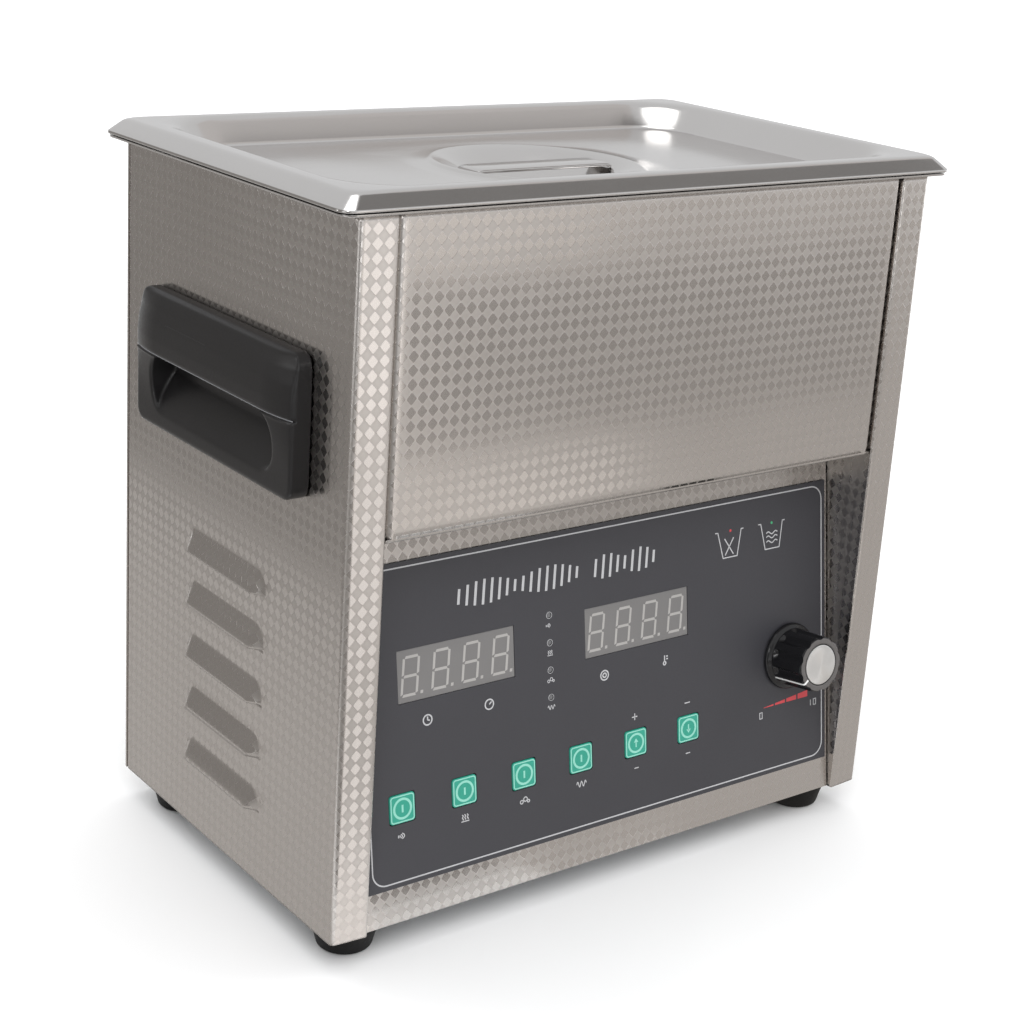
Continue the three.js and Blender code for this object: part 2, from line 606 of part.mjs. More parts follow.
function bailGeometry(side) {
  const { x, halfWidth, bottom, top, bend, wireRadius } = BAIL;
  const points = [
    [-halfWidth, bottom], [-halfWidth, (bottom + top) / 2], [-halfWidth, top - bend],
    [-halfWidth + bend * 0.3, top - bend * 0.3], [-halfWidth + bend, top],
    [0, top],
    [halfWidth - bend, top], [halfWidth - bend * 0.3, top - bend * 0.3],
    [halfWidth, top - bend], [halfWidth, (bottom + top) / 2], [halfWidth, bottom],
  ];
  return bentWire(points.map(([y, z]) => new THREE.Vector3(side * x, y, z)), wireRadius, 18, 3);
}

function buildTankAndLid(group) {
  add(group, 'tank', tankGeometry(), drawnSteel);
  add(group, 'lid_pan', lidPanGeometry(), drawnSteel);
  add(group, 'lid_strap', lidStrapGeometry(), drawnSteel);
  add(group, 'basket', basketGeometry(), drawnSteel);
  add(group, 'basket_handle_left', bailGeometry(-1), drawnSteel);
  add(group, 'basket_handle_right', bailGeometry(1), drawnSteel);
}

// ---------------------------------------------------------------- tank equipment

function buildTransducers(group) {
  const t = TRANSDUCER;
  const hornTop = TANK.floor - TANK.wall - GAP;
  const hornBottom = hornTop - t.hornHeight;
  const stackTop = hornBottom - GAP;
  const stackBottom = stackTop - t.stackHeight;
  const massTop = stackBottom - GAP;
  const massBottom = massTop - t.massHeight;
  const headTop = massBottom - GAP;
  const horn = turned([
    [0, hornTop], [t.hornTop, hornTop], [t.hornTop, hornTop - 3], [t.hornBottom, hornBottom + 4],
    [t.hornBottom, hornBottom], [t.boltBore, hornBottom], [t.boltBore, hornBottom + t.boltReach + 1],
    [0, hornBottom + t.boltReach + 1],
  ].reverse());
  const ring = (radius, top, bottom) => turned([
    [t.boltBore, bottom], [radius, bottom], [radius, top], [t.boltBore, top], [t.boltBore, bottom],
  ]);
  const bolt = join(
    rod(t.headRadius, [headTop - t.headHeight, headTop], 6),
    rod(t.boltRadius, [headTop - EMBED, hornBottom + t.boltReach], 16),
  );
  const sides = ['left', 'right'];
  t.xs.forEach((x, i) => {
    const place = [x, t.y, 0];
    add(group, `transducer_horn_${sides[i]}`, horn.clone(), aluminium, place);
    add(group, `piezo_stack_${sides[i]}`, ring(t.ringRadius, stackTop, stackBottom), ceramicGrey, place);
    add(group, `back_mass_${sides[i]}`, ring(t.ringRadius, massTop, massBottom), zincSteel, place);
    add(group, `transducer_bolt_${sides[i]}`, bolt.clone(), zincSteel, place);
  });
  const heaterTop = hornTop;
  const heater = slab(HEATER.halfWidth, HEATER.halfDepth, [heaterTop - HEATER.thickness, heaterTop]);
  add(group, 'heater_pad', heater, siliconeOrange);
  const sensor = join(
    rod(SENSOR.radius, [heaterTop - SENSOR.height, heaterTop], 16),
    block([-2, 2], [-9, 9], [heaterTop - 2, heaterTop - 0.4]),
  );
  add(group, 'temperature_sensor', sensor, zincSteel, [SENSOR.x, 0, 0]);
}

// ---------------------------------------------------------------- control panel (drawn flat, then tilted)

// In the panel's own frame x runs to the right, z up the slope and y inwards; the film's face is at y = 0.
function atPanel(geometry, x, v) {
  return geometry.translate(x, 0, v);
}

function keyX(i) {
  return KEY.firstX + i * KEY.pitch;
}

// A rounded square in the panel's plane, from y0 to y1.
function panelTile(halfX, halfV, corner, [y0, y1]) {
  const tile = extrude(roundedRectangle(halfX, halfV, corner), [-y1, -y0], 2);
  return tile.rotateX(Math.PI / 2);
}

function controlPanelGeometry() {
  const back = PANEL.front + PANEL.thickness;
  const plate = block([-PANEL.halfWidth, PANEL.halfWidth], [PANEL.front, back], [0.2, PANEL.top]);
  const through = [PANEL.front - 1, back + 1];
  const holes = [];
  for (const x of [DISPLAY.timerX, DISPLAY.heatX]) {
    const halfX = DISPLAY.width / 2 + GAP;
    const halfV = DISPLAY.height / 2 + GAP;
    holes.push(block([x - halfX, x + halfX], through, [DISPLAY.v - halfV, DISPLAY.v + halfV]));
  }
  for (const v of LAMP.heights) {
    holes.push(atPanel(crossRod(LAMP.radius + GAP, through, 8), LAMP.x, v));
  }
  for (let i = 0; i < 6; i += 1) {
    const half = KEY.size / 2 + GAP;
    holes.push(block([keyX(i) - half, keyX(i) + half], through, [KEY.v - half, KEY.v + half]));
  }
  holes.push(atPanel(crossRod(POT.bushRadius + GAP, through, 12), KNOB.x, KNOB.v));
  const studs = [];
  for (const x of STUD.xs) {
    for (const v of STUD.vs) {
      studs.push(atPanel(crossRod(STUD.radius, [back - EMBED, BOARD.front - GAP], 8), x, v));
    }
  }
  return join(cut(plate, ...holes), ...studs);
}

function filmGeometry() {
  const middle = (FILM.top + FILM.bottom) / 2;
  const sheet = block([-FILM.halfWidth, FILM.halfWidth], [0, FILM.thickness], [FILM.bottom, FILM.top]);
  const through = [-1, FILM.thickness + 1];
  const holes = [];
  for (const x of [DISPLAY.timerX, DISPLAY.heatX]) {
    holes.push(block(
      [x - DISPLAY.width / 2, x + DISPLAY.width / 2],
      through,
      [DISPLAY.v - DISPLAY.height / 2, DISPLAY.v + DISPLAY.height / 2],
    ));
  }
  for (const v of LAMP.heights) {
    holes.push(atPanel(crossRod(LAMP.filmRadius, through, 8), LAMP.x, v));
  }
  for (let i = 0; i < 6; i += 1) {
    holes.push(atPanel(panelTile(KEY.size / 2 + GAP, KEY.size / 2 + GAP, KEY.corner, through), keyX(i), KEY.v));
  }
  holes.push(atPanel(crossRod(POT.nutRadius + 0.6, through, 16), KNOB.x, KNOB.v));
  return cut(sheet, ...holes);
}

function displayBoardGeometry() {
  const back = BOARD.front + BOARD.thickness;
  const board = block([BOARD.left, BOARD.right], [BOARD.front, back], [BOARD.bottom, BOARD.top]);
  const pieces = [];
  for (let i = 0; i < 6; i += 1) {
    const half = SWITCH.size / 2;
    const face = BOARD.front - SWITCH.height;
    pieces.push(block([keyX(i) - half, keyX(i) + half], [face, BOARD.front + EMBED], [KEY.v - half, KEY.v + half]));
    pieces.push(atPanel(crossRod(SWITCH.plungerRadius, [face - SWITCH.plungerHeight, face + EMBED], 8), keyX(i), KEY.v));
  }
  const controller = block([-12, 8], [back - EMBED, back + 3], [62, 82]);
  const relay = block([24, 44], [back - EMBED, back + 14], [60, 76]);
  return join(board, ...pieces, controller, relay);
}

function keyGeometry() {
  const half = KEY.size / 2;
  const plungerFace = BOARD.front - SWITCH.height - SWITCH.plungerHeight;
  const cap = panelTile(half, half, KEY.corner, [-GAP, KEY.cap]);
  const stem = crossRod(KEY.stemRadius, [KEY.cap - EMBED, plungerFace - KEY.travel - 0.1], 8);
  return join(cap, stem);
}

function lampGeometry() {
  const lens = crossRod(LAMP.radius, [FILM.thickness + 0.2, BOARD.front - 4], 8);
  const collar = crossRod(LAMP.radius + 0.4, [BOARD.front - 4.5, BOARD.front - GAP], 8);
  return join(lens, collar);
}

// The knob stands on the panel along -Y: a thin skirt, a fluted body and a shallow seat for its cap.
function knobGeometry() {
  const k = KNOB;
  const body = turned([
    [0, k.skirtBottom], [k.skirtRadius, k.skirtBottom], [k.skirtRadius, k.skirtTop - 0.4],
    [k.skirtRadius - 0.5, k.skirtTop], [k.bodyRadius + 0.2, k.skirtTop + 0.3], [k.bodyRadius, k.skirtTop + 1],
    [k.bodyRadius - 0.3, k.height - 0.8], [k.frontRadius - 0.3, k.height], [0, k.height],
  ], FINE);
  const tools = [];
  for (let i = 0; i < k.flutes; i += 1) {
    const angle = ((i + 0.5) / k.flutes) * 2 * Math.PI;
    const flute = rod(k.fluteRadius, [k.skirtTop + 1.2, k.height + 1], 10);
    tools.push(flute.translate(k.fluteOffset * Math.cos(angle), k.fluteOffset * Math.sin(angle), 0));
  }
  tools.push(rod(k.capRadius + GAP, [k.height - k.capDepth, k.height + 1]));
  tools.push(rod(POT.shaftRadius + GAP, [k.skirtBottom - 1, k.boreDepth], 12));
  tools.push(rod(POT.nutRadius + 1.5, [k.skirtBottom - 1, k.skirtBottom + 2.6], 16));
  return cut(body, ...tools).rotateX(Math.PI / 2);
}

function knobCapGeometry() {
  const { capRadius, capDepth, height } = KNOB;
  return turned([
    [0, height - capDepth + GAP], [capRadius, height - capDepth + GAP], [capRadius, height - 0.2],
    [capRadius - 0.3, height], [0, height],
  ], FINE).rotateX(Math.PI / 2);
}

function potentiometerGeometry() {
  const back = PANEL.front + PANEL.thickness + GAP;
  const body = crossRod(POT.bodyRadius, [back, back + POT.bodyDepth], 16);
  const terminals = block([-6, 6], [back + 2, back + 3.5], [-14, 0]);
  const bush = crossRod(POT.bushRadius, [-1.4, back + EMBED], 12);
  const nut = crossRod(POT.nutRadius, [-2, PANEL.front - GAP], 6);
  const bore = crossRod(POT.shaftBore, [-3, back + POT.bodyDepth - 2], 12);
  return cut(join(body, terminals, bush, nut), bore);
}

function potentiometerShaftGeometry() {
  return crossRod(POT.shaftRadius, [GAP - KNOB.boreDepth, PANEL.front + PANEL.thickness + POT.bodyDepth - 2.5], 12);
}

function buildControlPanel(group) {
  const panel = new THREE.Group();
  panel.position.set(0, PANEL.footY, 0);
  panel.rotation.x = -TILT;
  group.add(panel);

  add(panel, 'control_panel_plate', controlPanelGeometry(), embossedSteel);
  add(panel, 'overlay_film', filmGeometry(), filmGrey);
  add(panel, 'display_board', displayBoardGeometry(), boardGreen);

  const module = block(
    [-DISPLAY.width / 2, DISPLAY.width / 2],
    [FILM.thickness + 0.1, FILM.thickness + 0.1 + DISPLAY.depth],
    [-DISPLAY.height / 2, DISPLAY.height / 2],
  );
  add(panel, 'timer_display', module.clone(), displayGrey, [DISPLAY.timerX, 0, DISPLAY.v]);
  add(panel, 'temperature_display', module.clone(), displayGrey, [DISPLAY.heatX, 0, DISPLAY.v]);

  LAMP.heights.forEach((v, i) => {
    add(panel, `lamp_${i + 1}`, lampGeometry(), lampLens, [LAMP.x, 0, v]);
  });
  const keys = ['ultrasonic', 'heater', 'degas', 'sweep', 'increase', 'decrease'];
  keys.forEach((key, i) => {
    add(panel, `key_${key}`, keyGeometry(), keyGreen, [keyX(i), 0, KEY.v]);
  });

  const knobPlace = [KNOB.x, 0, KNOB.v];
  add(panel, 'knob', knobGeometry(), glossBlack, knobPlace);
  add(panel, 'knob_cap', knobCapGeometry(), aluminium, knobPlace);
  add(panel, 'potentiometer', potentiometerGeometry(), zincSteel, knobPlace);
  add(panel, 'potentiometer_shaft', potentiometerShaftGeometry(), aluminium, knobPlace);
}

// ---------------------------------------------------------------- electronics

function generatorBoardGeometry() {
  const { left, right, front, back, z, thickness } = GENERATOR;
  const top = z + thickness;
  const board = block([left, right], [front, back], [z, top]);
  const capacitor = (x, y, radius, height) => rod(radius, [top - EMBED, top + height], 12).translate(x, y, 0);
  return join(
    board,
    capacitor(36, -30, 8, 26), capacitor(56, -30, 8, 26),
    capacitor(92, -34, 5, 14), capacitor(92, 28, 5, 14),
    block([66, 84], [-42, -30], [top - EMBED, top + 16]),
    block([34, 44], [20, 34], [top - EMBED, top + 9]),
  );
}

// A ferrite core with its winding between the two side legs.
function transformerGeometry() {
  const { x, y, halfWidth, halfDepth, height } = TRANSFORMER;
  const foot = GENERATOR.z + GENERATOR.thickness + GAP;
  const core = block([x - halfWidth, x + halfWidth], [y - 6, y + 6], [foot, foot + height]);
  const winding = rod(halfDepth - 1, [foot + 5, foot + height - 5], 16).translate(x, y, 0);
  return join(core, winding);
}

function heatSinkGeometry() {
  const { x, y, halfWidth, halfDepth, base, height, fins, fin } = SINK;
  const foot = GENERATOR.z + GENERATOR.thickness + GAP;
  const pieces = [block([x - halfWidth, x + halfWidth], [y - halfDepth, y + halfDepth], [foot, foot + base])];
  for (let i = 0; i < fins; i += 1) {
    const left = x - halfWidth + (i * (2 * halfWidth - fin)) / (fins - 1);
    pieces.push(block([left, left + fin], [y - halfDepth, y + halfDepth], [foot + base - EMBED, foot + height]));
  }
  return join(...pieces);
}

// A square axial fan behind the grille: its frame holds the motor plate on three struts.
function fanFrameGeometry() {
  const back = HOUSING.halfDepth - SHEET - GAP;
  const front = back - FAN.depth;
  const frame = block([-FAN.half, FAN.half], [front, back], [-FAN.half, FAN.half]);
  const bore = crossRod(FAN.boreRadius, [front - 1, back + 1], FINE);
  const motor = crossRod(FAN.hubRadius, [front, front + 2], 24);
  const struts = [];
  for (let i = 0; i < 3; i += 1) {
    const strut = block([0, FAN.boreRadius + 1], [front, front + 2], [-1.5, 1.5]);
    struts.push(strut.rotateY((i * 2 * Math.PI) / 3 + 0.4));
  }
  return join(cut(frame, bore), motor, ...struts);
}

function fanRotorGeometry() {
  const back = HOUSING.halfDepth - SHEET - GAP - 1.5;
  const front = back - FAN.depth + 4;
  const middle = (front + back) / 2;
  const pieces = [crossRod(FAN.hubRadius, [front, back], 24)];
  for (let i = 0; i < FAN.blades; i += 1) {
    const blade = block([FAN.hubRadius - 1.5, FAN.bladeTip], [-0.6, 0.6], [-6, 6]);
    blade.rotateX(THREE.MathUtils.degToRad(50));
    blade.translate(0, middle, 0);
    pieces.push(blade.rotateY((i * 2 * Math.PI) / FAN.blades));
  }
  return join(...pieces);
}

// ---------------------------------------------------------------- rear fittings

function inletGeometry() {
  const face = HOUSING.halfDepth;
  const outer = face + GAP + INLET.flange;
  const shell = join(
    block([-INLET.halfWidth, INLET.halfWidth], [face - INLET.depth, outer - EMBED], [-INLET.halfHeight, INLET.halfHeight]),
    block([-INLET.flangeX, INLET.flangeX], [face + GAP, outer], [-INLET.flangeZ, INLET.flangeZ]),
  );
  const floor = outer - SOCKET.depth;
  const socket = block(
    [-SOCKET.halfWidth, SOCKET.halfWidth],
    [floor, outer + 1],
    [-SOCKET.halfHeight, SOCKET.halfHeight],
  );
  const pins = [[-SOCKET.pinPitch, -1.5], [0, 1.8], [SOCKET.pinPitch, -1.5]].map(([x, z]) => block(
    [x - SOCKET.pinHalfX, x + SOCKET.pinHalfX],
    [floor - EMBED, floor + SOCKET.pinLength],
    [z - SOCKET.pinHalfZ, z + SOCKET.pinHalfZ],
  ));
  return join(cut(shell, socket), ...pins);
}

function switchHousingGeometry() {
  const face = HOUSING.halfDepth;
  const s = SWITCHBODY;
  const outer = face + GAP + s.bezel;
  const shell = join(
    block([-s.halfWidth, s.halfWidth], [face - s.depth, outer - EMBED], [-s.halfHeight, s.halfHeight]),
    block([-s.bezelX, s.bezelX], [face + GAP, outer], [-s.bezelZ, s.bezelZ]),
  );
  const well = block([-s.wellX, s.wellX], [face - s.depth + 5, outer + 1], [-s.wellZ, s.wellZ]);
  return cut(shell, well);
}

// The rocker turns about X on the panel's face; it rests with its lower half pressed in.
function rockerGeometry() {
  const { halfWidth, halfHeight, ridge, tip, heel } = ROCKER;
  const body = prismAlongX([
    [tip, halfHeight], [ridge, 0], [tip, -halfHeight], [-2, -halfHeight + 1], [-heel, 0], [-2, halfHeight - 1],
  ], [-halfWidth, halfWidth]);
  return body.rotateX(THREE.MathUtils.degToRad(-ROCKER.tilt));
}

function fuseHolderGeometry() {
  const face = HOUSING.halfDepth;
  const body = join(
    crossRod(FUSE.barrelRadius, [face - FUSE.depth, face + GAP + FUSE.flange - EMBED], 16),
    crossRod(FUSE.flangeRadius, [face + GAP, face + GAP + FUSE.flange], 16),
  );
  const bore = crossRod(FUSE.boreRadius, [face - FUSE.depth + 3, face + GAP + FUSE.flange + 1], 12);
  return cut(body, bore);
}

function fuseCapGeometry() {
  const seat = HOUSING.halfDepth + FUSE.flange + 2 * GAP;
  const stem = crossRod(FUSE.boreRadius - 1.5 * GAP, [seat - 12, seat + EMBED], 12);
  const head = crossRod(FUSE.capRadius, [seat, KNOB_REACH], 16);
  const slot = block([-1, 1], [KNOB_REACH - 1.6, KNOB_REACH + 1], [-FUSE.capRadius - 1, FUSE.capRadius + 1]);
  return cut(join(stem, head), slot);
}

function buildElectrics(group) {
  add(group, 'generator_board', generatorBoardGeometry(), boardGreen);
  add(group, 'output_transformer', transformerGeometry(), ferrite);
  add(group, 'heat_sink', heatSinkGeometry(), aluminium);
  const fanPlace = [FAN.x, 0, FAN.z];
  add(group, 'fan_frame', fanFrameGeometry(), blackPlastic, fanPlace);
  add(group, 'fan_rotor', fanRotorGeometry(), blackPlastic, fanPlace);
  add(group, 'inlet_socket', inletGeometry(), glossBlack, [INLET.x, 0, INLET.z]);
  add(group, 'rocker_housing', switchHousingGeometry(), glossBlack, [ROCKER.x, 0, ROCKER.z]);
  add(group, 'rocker', rockerGeometry(), glossBlack, [ROCKER.x, HOUSING.halfDepth + 0.5, ROCKER.z]);
  add(group, 'fuse_holder', fuseHolderGeometry(), glossBlack, [FUSE.x, 0, FUSE.z]);
  add(group, 'fuse_cap', fuseCapGeometry(), glossBlack, [FUSE.x, 0, FUSE.z]);
}

// ---------------------------------------------------------------- the whole cleaner

const cleaner = new THREE.Group();
// The housing's own frame starts at the lower edge of its side panels, above the feet.
const housing = new THREE.Group();
housing.position.set(0, 0, FOOT.reach);
cleaner.add(housing);

buildHousing(housing);
buildTankAndLid(housing);
buildTransducers(housing);
buildControlPanel(housing);
buildElectrics(housing);

export default cleaner;
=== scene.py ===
"""A bench-top ultrasonic cleaner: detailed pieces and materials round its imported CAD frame.

Sizes below are millimetres in the housing's own frame, whose zero height is the lower edge of the side panels;
`place` turns them into metres above the floor. The front faces -Y.
"""

import math

import bmesh
import bpy
from mathutils import Matrix, Vector


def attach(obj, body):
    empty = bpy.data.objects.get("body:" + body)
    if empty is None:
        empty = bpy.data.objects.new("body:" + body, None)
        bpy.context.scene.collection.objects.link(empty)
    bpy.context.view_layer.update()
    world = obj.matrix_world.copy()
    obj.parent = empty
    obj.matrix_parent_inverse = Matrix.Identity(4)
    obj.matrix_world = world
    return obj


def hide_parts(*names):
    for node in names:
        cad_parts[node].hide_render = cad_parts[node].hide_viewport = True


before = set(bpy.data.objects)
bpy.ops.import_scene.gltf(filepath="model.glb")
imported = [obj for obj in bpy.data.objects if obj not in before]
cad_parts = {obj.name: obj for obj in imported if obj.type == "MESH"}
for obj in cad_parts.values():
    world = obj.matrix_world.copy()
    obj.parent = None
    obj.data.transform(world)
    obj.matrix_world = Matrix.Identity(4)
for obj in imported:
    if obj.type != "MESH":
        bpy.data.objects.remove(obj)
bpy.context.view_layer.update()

# ---------------------------------------------------------------- driving dimensions

MM = 0.001
STAND = 12.0  # the housing's lower edge above the floor, on its feet

HALF_WIDTH, HALF_DEPTH, HEIGHT = 125.0, 77.0, 247.6
SHEET, REAR_GAP = 1.0, 0.3  # the sheets' thickness, and the room between the side panels and the back panel
DIAMOND_WIDTH, DIAMOND_HEIGHT, EMBOSS_RELIEF = 4.25, 4.6, 0.022  # repeat and depth of the embossed pattern
MATT_ROUGHNESS, SMOOTH_ROUGHNESS, RETURN_DULLNESS = 0.34, 0.15, 0.12
FLANGE_INNER = 110.9
SHORT_RETURN, DEEP_RETURN, REAR_FLANGE = 5.5, 26.0, 12.0
SPRUNG = 0.95  # the front flanges' inner edges stand this far forward
LEDGE_Z, LEDGE_REACH, LEDGE_BEND, FRONT_BEND = 141.0, 25.0, 1.4, 2.3
NOTCH_Z = LEDGE_Z + 1.5  # above this the side panels' deep return is cut back to the short one

LOUVRE_COUNT, LOUVRE_PITCH, LOUVRE_LIP = 5, 20.25, 27.7
LOUVRE_HALF, LOUVRE_HEIGHT, LOUVRE_REACH = 27.0, 8.0, 3.5

HANDLE_WINDOW = (45.3, 155.2, 196.7)  # half length, bottom and top of the opening in the side panel
BAR_LIP_Z, BAR_LIP_REACH = 178.2, 9.6  # the lower lip of the handle's bar

LID_FLOOR, DISH_RADIUS, DISH_DEPTH = 245.2, 38.0, 11.0
TANK_FLOOR, TANK_FILLET = 149.0, 12.0
BASKET_FLOOR, BASKET_RIM, BASKET_FILLET, BASKET_CORNER = 160.0, 216.0, 5.0, 14.0
BASKET_BOTTOM, BASKET_TOP = (102.0, 52.0), (106.0, 56.0)
BASKET_PITCH, BASKET_WIRE = 6.0, 0.42

PANEL_FOOT, PANEL_SLOPE = -76.5, 0.155
TILT = math.atan(PANEL_SLOPE)
FILM_HALF, FILM_BOTTOM, FILM_TOP = 108.9, 13.1, 126.8
DISPLAY_X, DISPLAY_V, DISPLAY_SIZE = (-69.15, 11.9), 86.9, (49.3, 18.7)
LAMP_X, LAMP_V = -28.8, (97.0, 86.9, 76.8, 66.7)
KEY_V, KEY_FIRST, KEY_PITCH, KEY_SIZE = 41.0, -94.0, 26.0, 10.3
KEYS = ("ultrasonic", "heater", "degas", "sweep", "increase", "decrease")
KNOB_X, KNOB_V, KNOB_HEIGHT, KNOB_FLUTES, KNOB_SIDES = 88.4, 59.4, 18.1, 10, 200
POINTER_ANGLE = math.radians(216)


def place(x, y, z):
    return (x * MM, y * MM, (z + STAND) * MM)


def on_panel(x, v, y=0.0):
    """A point of the tilted control panel: x to the right, v up its slope, y inwards from the film's face."""
    sin, cos = math.sin(TILT), math.cos(TILT)
    return place(x, PANEL_FOOT + y * cos + v * sin, v * cos - y * sin)


def off_panel(x, v, out):
    """The same with the last measure taken outwards."""
    return on_panel(x, v, -out)
# ---------------------------------------------------------------- materials


class Shader:
    """A node material on one Principled surface, with short ways to add and link nodes."""

    def __init__(self, name, **sockets):
        self.material = bpy.data.materials.new(name)
        self.material.use_nodes = True
        self.tree = self.material.node_tree
        self.tree.nodes.clear()
        self.surface = self.tree.nodes.new("ShaderNodeBsdfPrincipled")
        output = self.tree.nodes.new("ShaderNodeOutputMaterial")
        self.tree.links.new(self.surface.outputs[0], output.inputs["Surface"])
        for socket, value in sockets.items():
            self.surface.inputs[socket.replace("_", " ")].default_value = value

    def node(self, kind, inputs=None, **settings):
        node = self.tree.nodes.new("ShaderNode" + kind)
        for key, value in settings.items():
            setattr(node, key, value)
        for key, value in (inputs or {}).items():
            if isinstance(value, bpy.types.NodeSocket):
                self.tree.links.new(value, node.inputs[key])
            else:
                node.inputs[key].default_value = value
        return node

    def math(self, operation, *values):
        return self.node("Math", dict(enumerate(values)), operation=operation).outputs[0]

    def coordinates(self, scale=(1, 1, 1)):
        source = self.node("TexCoord").outputs["Object"]
        return self.node("Mapping", {"Vector": source, "Scale": scale}).outputs[0]

    def noise(self, vector, scale, detail=2.0, roughness=0.5):
        inputs = {"Vector": vector, "Scale": scale, "Detail": detail, "Roughness": roughness}
        return self.node("TexNoise", inputs).outputs[0]

    def spread(self, value, low, high, start=0.3, end=0.7):
        inputs = {"Value": value, "From Min": start, "From Max": end, "To Min": low, "To Max": high}
        return self.node("MapRange", inputs).outputs[0]

    def blend(self, factor, first, second):
        node = self.node("Mix", data_type="RGBA")
        self.tree.links.new(factor, node.inputs[0])
        node.inputs[6].default_value = (*first, 1)
        node.inputs[7].default_value = (*second, 1)
        return node.outputs[2]

    def colour(self, value):
        self.tree.links.new(value, self.surface.inputs["Base Color"])

    def roughness(self, value):
        self.tree.links.new(value, self.surface.inputs["Roughness"])

    def bump(self, height, distance):
        node = self.node("Bump", {"Height": height, "Distance": distance * MM, "Strength": 1.0})
        self.tree.links.new(node.outputs[0], self.surface.inputs["Normal"])


def shade(colour, factor):
    return tuple(min(1.0, c * factor) for c in colour)


def moulded(name, colour, roughness=0.5, grain=900.0, depth=0.03, variation=0.12, **sockets):
    """A moulded or coated surface: a fine grain, faint cloudy colour and uneven gloss."""
    shader = Shader(name, **sockets)
    where = shader.coordinates()
    cloud = shader.noise(where, 35.0, 4.0)
    fine = shader.noise(where, grain, 3.0, 0.6)
    shader.colour(shader.blend(cloud, shade(colour, 1 - variation), shade(colour, 1 + variation)))
    shader.roughness(shader.spread(fine, roughness * 0.85, min(1.0, roughness * 1.15)))
    shader.bump(fine, depth)
    return shader.material


def steel(name, colour, roughness, streaks=(1, 1, 1)):
    """Bright sheet metal with faint drawing or grinding lines."""
    shader = Shader(name, Metallic=1.0)
    lines = shader.noise(shader.coordinates(scale=streaks), 240.0, 5.0, 0.65)
    cloud = shader.noise(shader.coordinates(), 18.0, 4.0)
    shader.colour(shader.blend(cloud, shade(colour, 0.96), shade(colour, 1.04)))
    mottle = shader.math("ADD", shader.spread(lines, -0.015, 0.015), shader.spread(cloud, -0.015, 0.015))
    shader.roughness(shader.math("ADD", mottle, roughness))
    shader.bump(lines, 0.0012)
    return shader.material


def embossed_steel(name, source, dull_return=False):
    """Steel sheet rolled with a checker of smooth and matt diamonds; the matt ones hold a smaller raised one.

    dull_return leaves the deep return, the first run of a side panel's fold, duller than the faces.
    """
    shader = Shader(name, Metallic=1.0)
    vector = shader.node("TexCoord").outputs[source]
    axes = shader.node("SeparateXYZ", {"Vector": vector}).outputs
    across = shader.math("DIVIDE", axes[0], DIAMOND_WIDTH * MM)
    up = shader.math("DIVIDE", axes[1 if source == "UV" else 2], DIAMOND_HEIGHT * MM)
    rising = shader.math("ADD", shader.math("ADD", across, up), 0.5)
    falling = shader.math("ADD", shader.math("SUBTRACT", across, up), 0.5)
    cells = shader.math("ADD", shader.math("FLOOR", rising), shader.math("FLOOR", falling))
    matt = shader.math("FLOORED_MODULO", cells, 2.0)

    def from_middle(value):
        return shader.math("ABSOLUTE", shader.math("SUBTRACT", shader.math("FRACT", value), 0.5))

    powers = [shader.math("POWER", from_middle(value), 6.0) for value in (rising, falling)]
    edge = shader.math("POWER", shader.math("ADD", *powers), 1 / 6)
    plateau = shader.spread(edge, 1.0, 0.0, 0.475, 0.525)
    inner = shader.spread(edge, 1.0, 0.0, 0.2, 0.3)
    smooth_height = shader.math("MULTIPLY", plateau, shader.math("SUBTRACT", 1.0, matt))
    inner_height = shader.math("MULTIPLY", shader.math("MULTIPLY", inner, matt), 0.22)
    relief = shader.math("ADD", smooth_height, inner_height)

    grain = shader.noise(shader.coordinates(), 1400.0, 2.0, 0.6)
    streaks = shader.noise(shader.coordinates(scale=(1, 1, 0.04)), 260.0, 3.0)
    cloud = shader.noise(shader.coordinates(), 12.0, 3.0)
    tone = shader.math("ADD", shader.math("MULTIPLY", relief, 0.3), shader.spread(cloud, 0.2, 0.6))
    shader.colour(shader.blend(tone, (0.575, 0.545, 0.52), (0.66, 0.63, 0.605)))
    base = shader.spread(relief, MATT_ROUGHNESS, SMOOTH_ROUGHNESS, 0.0, 1.0)
    if dull_return:
        dull = shader.spread(axes[0], RETURN_DULLNESS, 0.0, DEEP_RETURN * MM * 0.9, DEEP_RETURN * MM)
        base = shader.math("ADD", base, dull)
    shader.roughness(shader.math("ADD", base, shader.spread(streaks, -0.02, 0.02)))
    ground = shader.math("MULTIPLY", grain, shader.math("SUBTRACT", 1.0, smooth_height))
    height = shader.math("ADD", relief, shader.math("MULTIPLY", ground, 0.10))
    shader.bump(height, EMBOSS_RELIEF)
    return shader.material


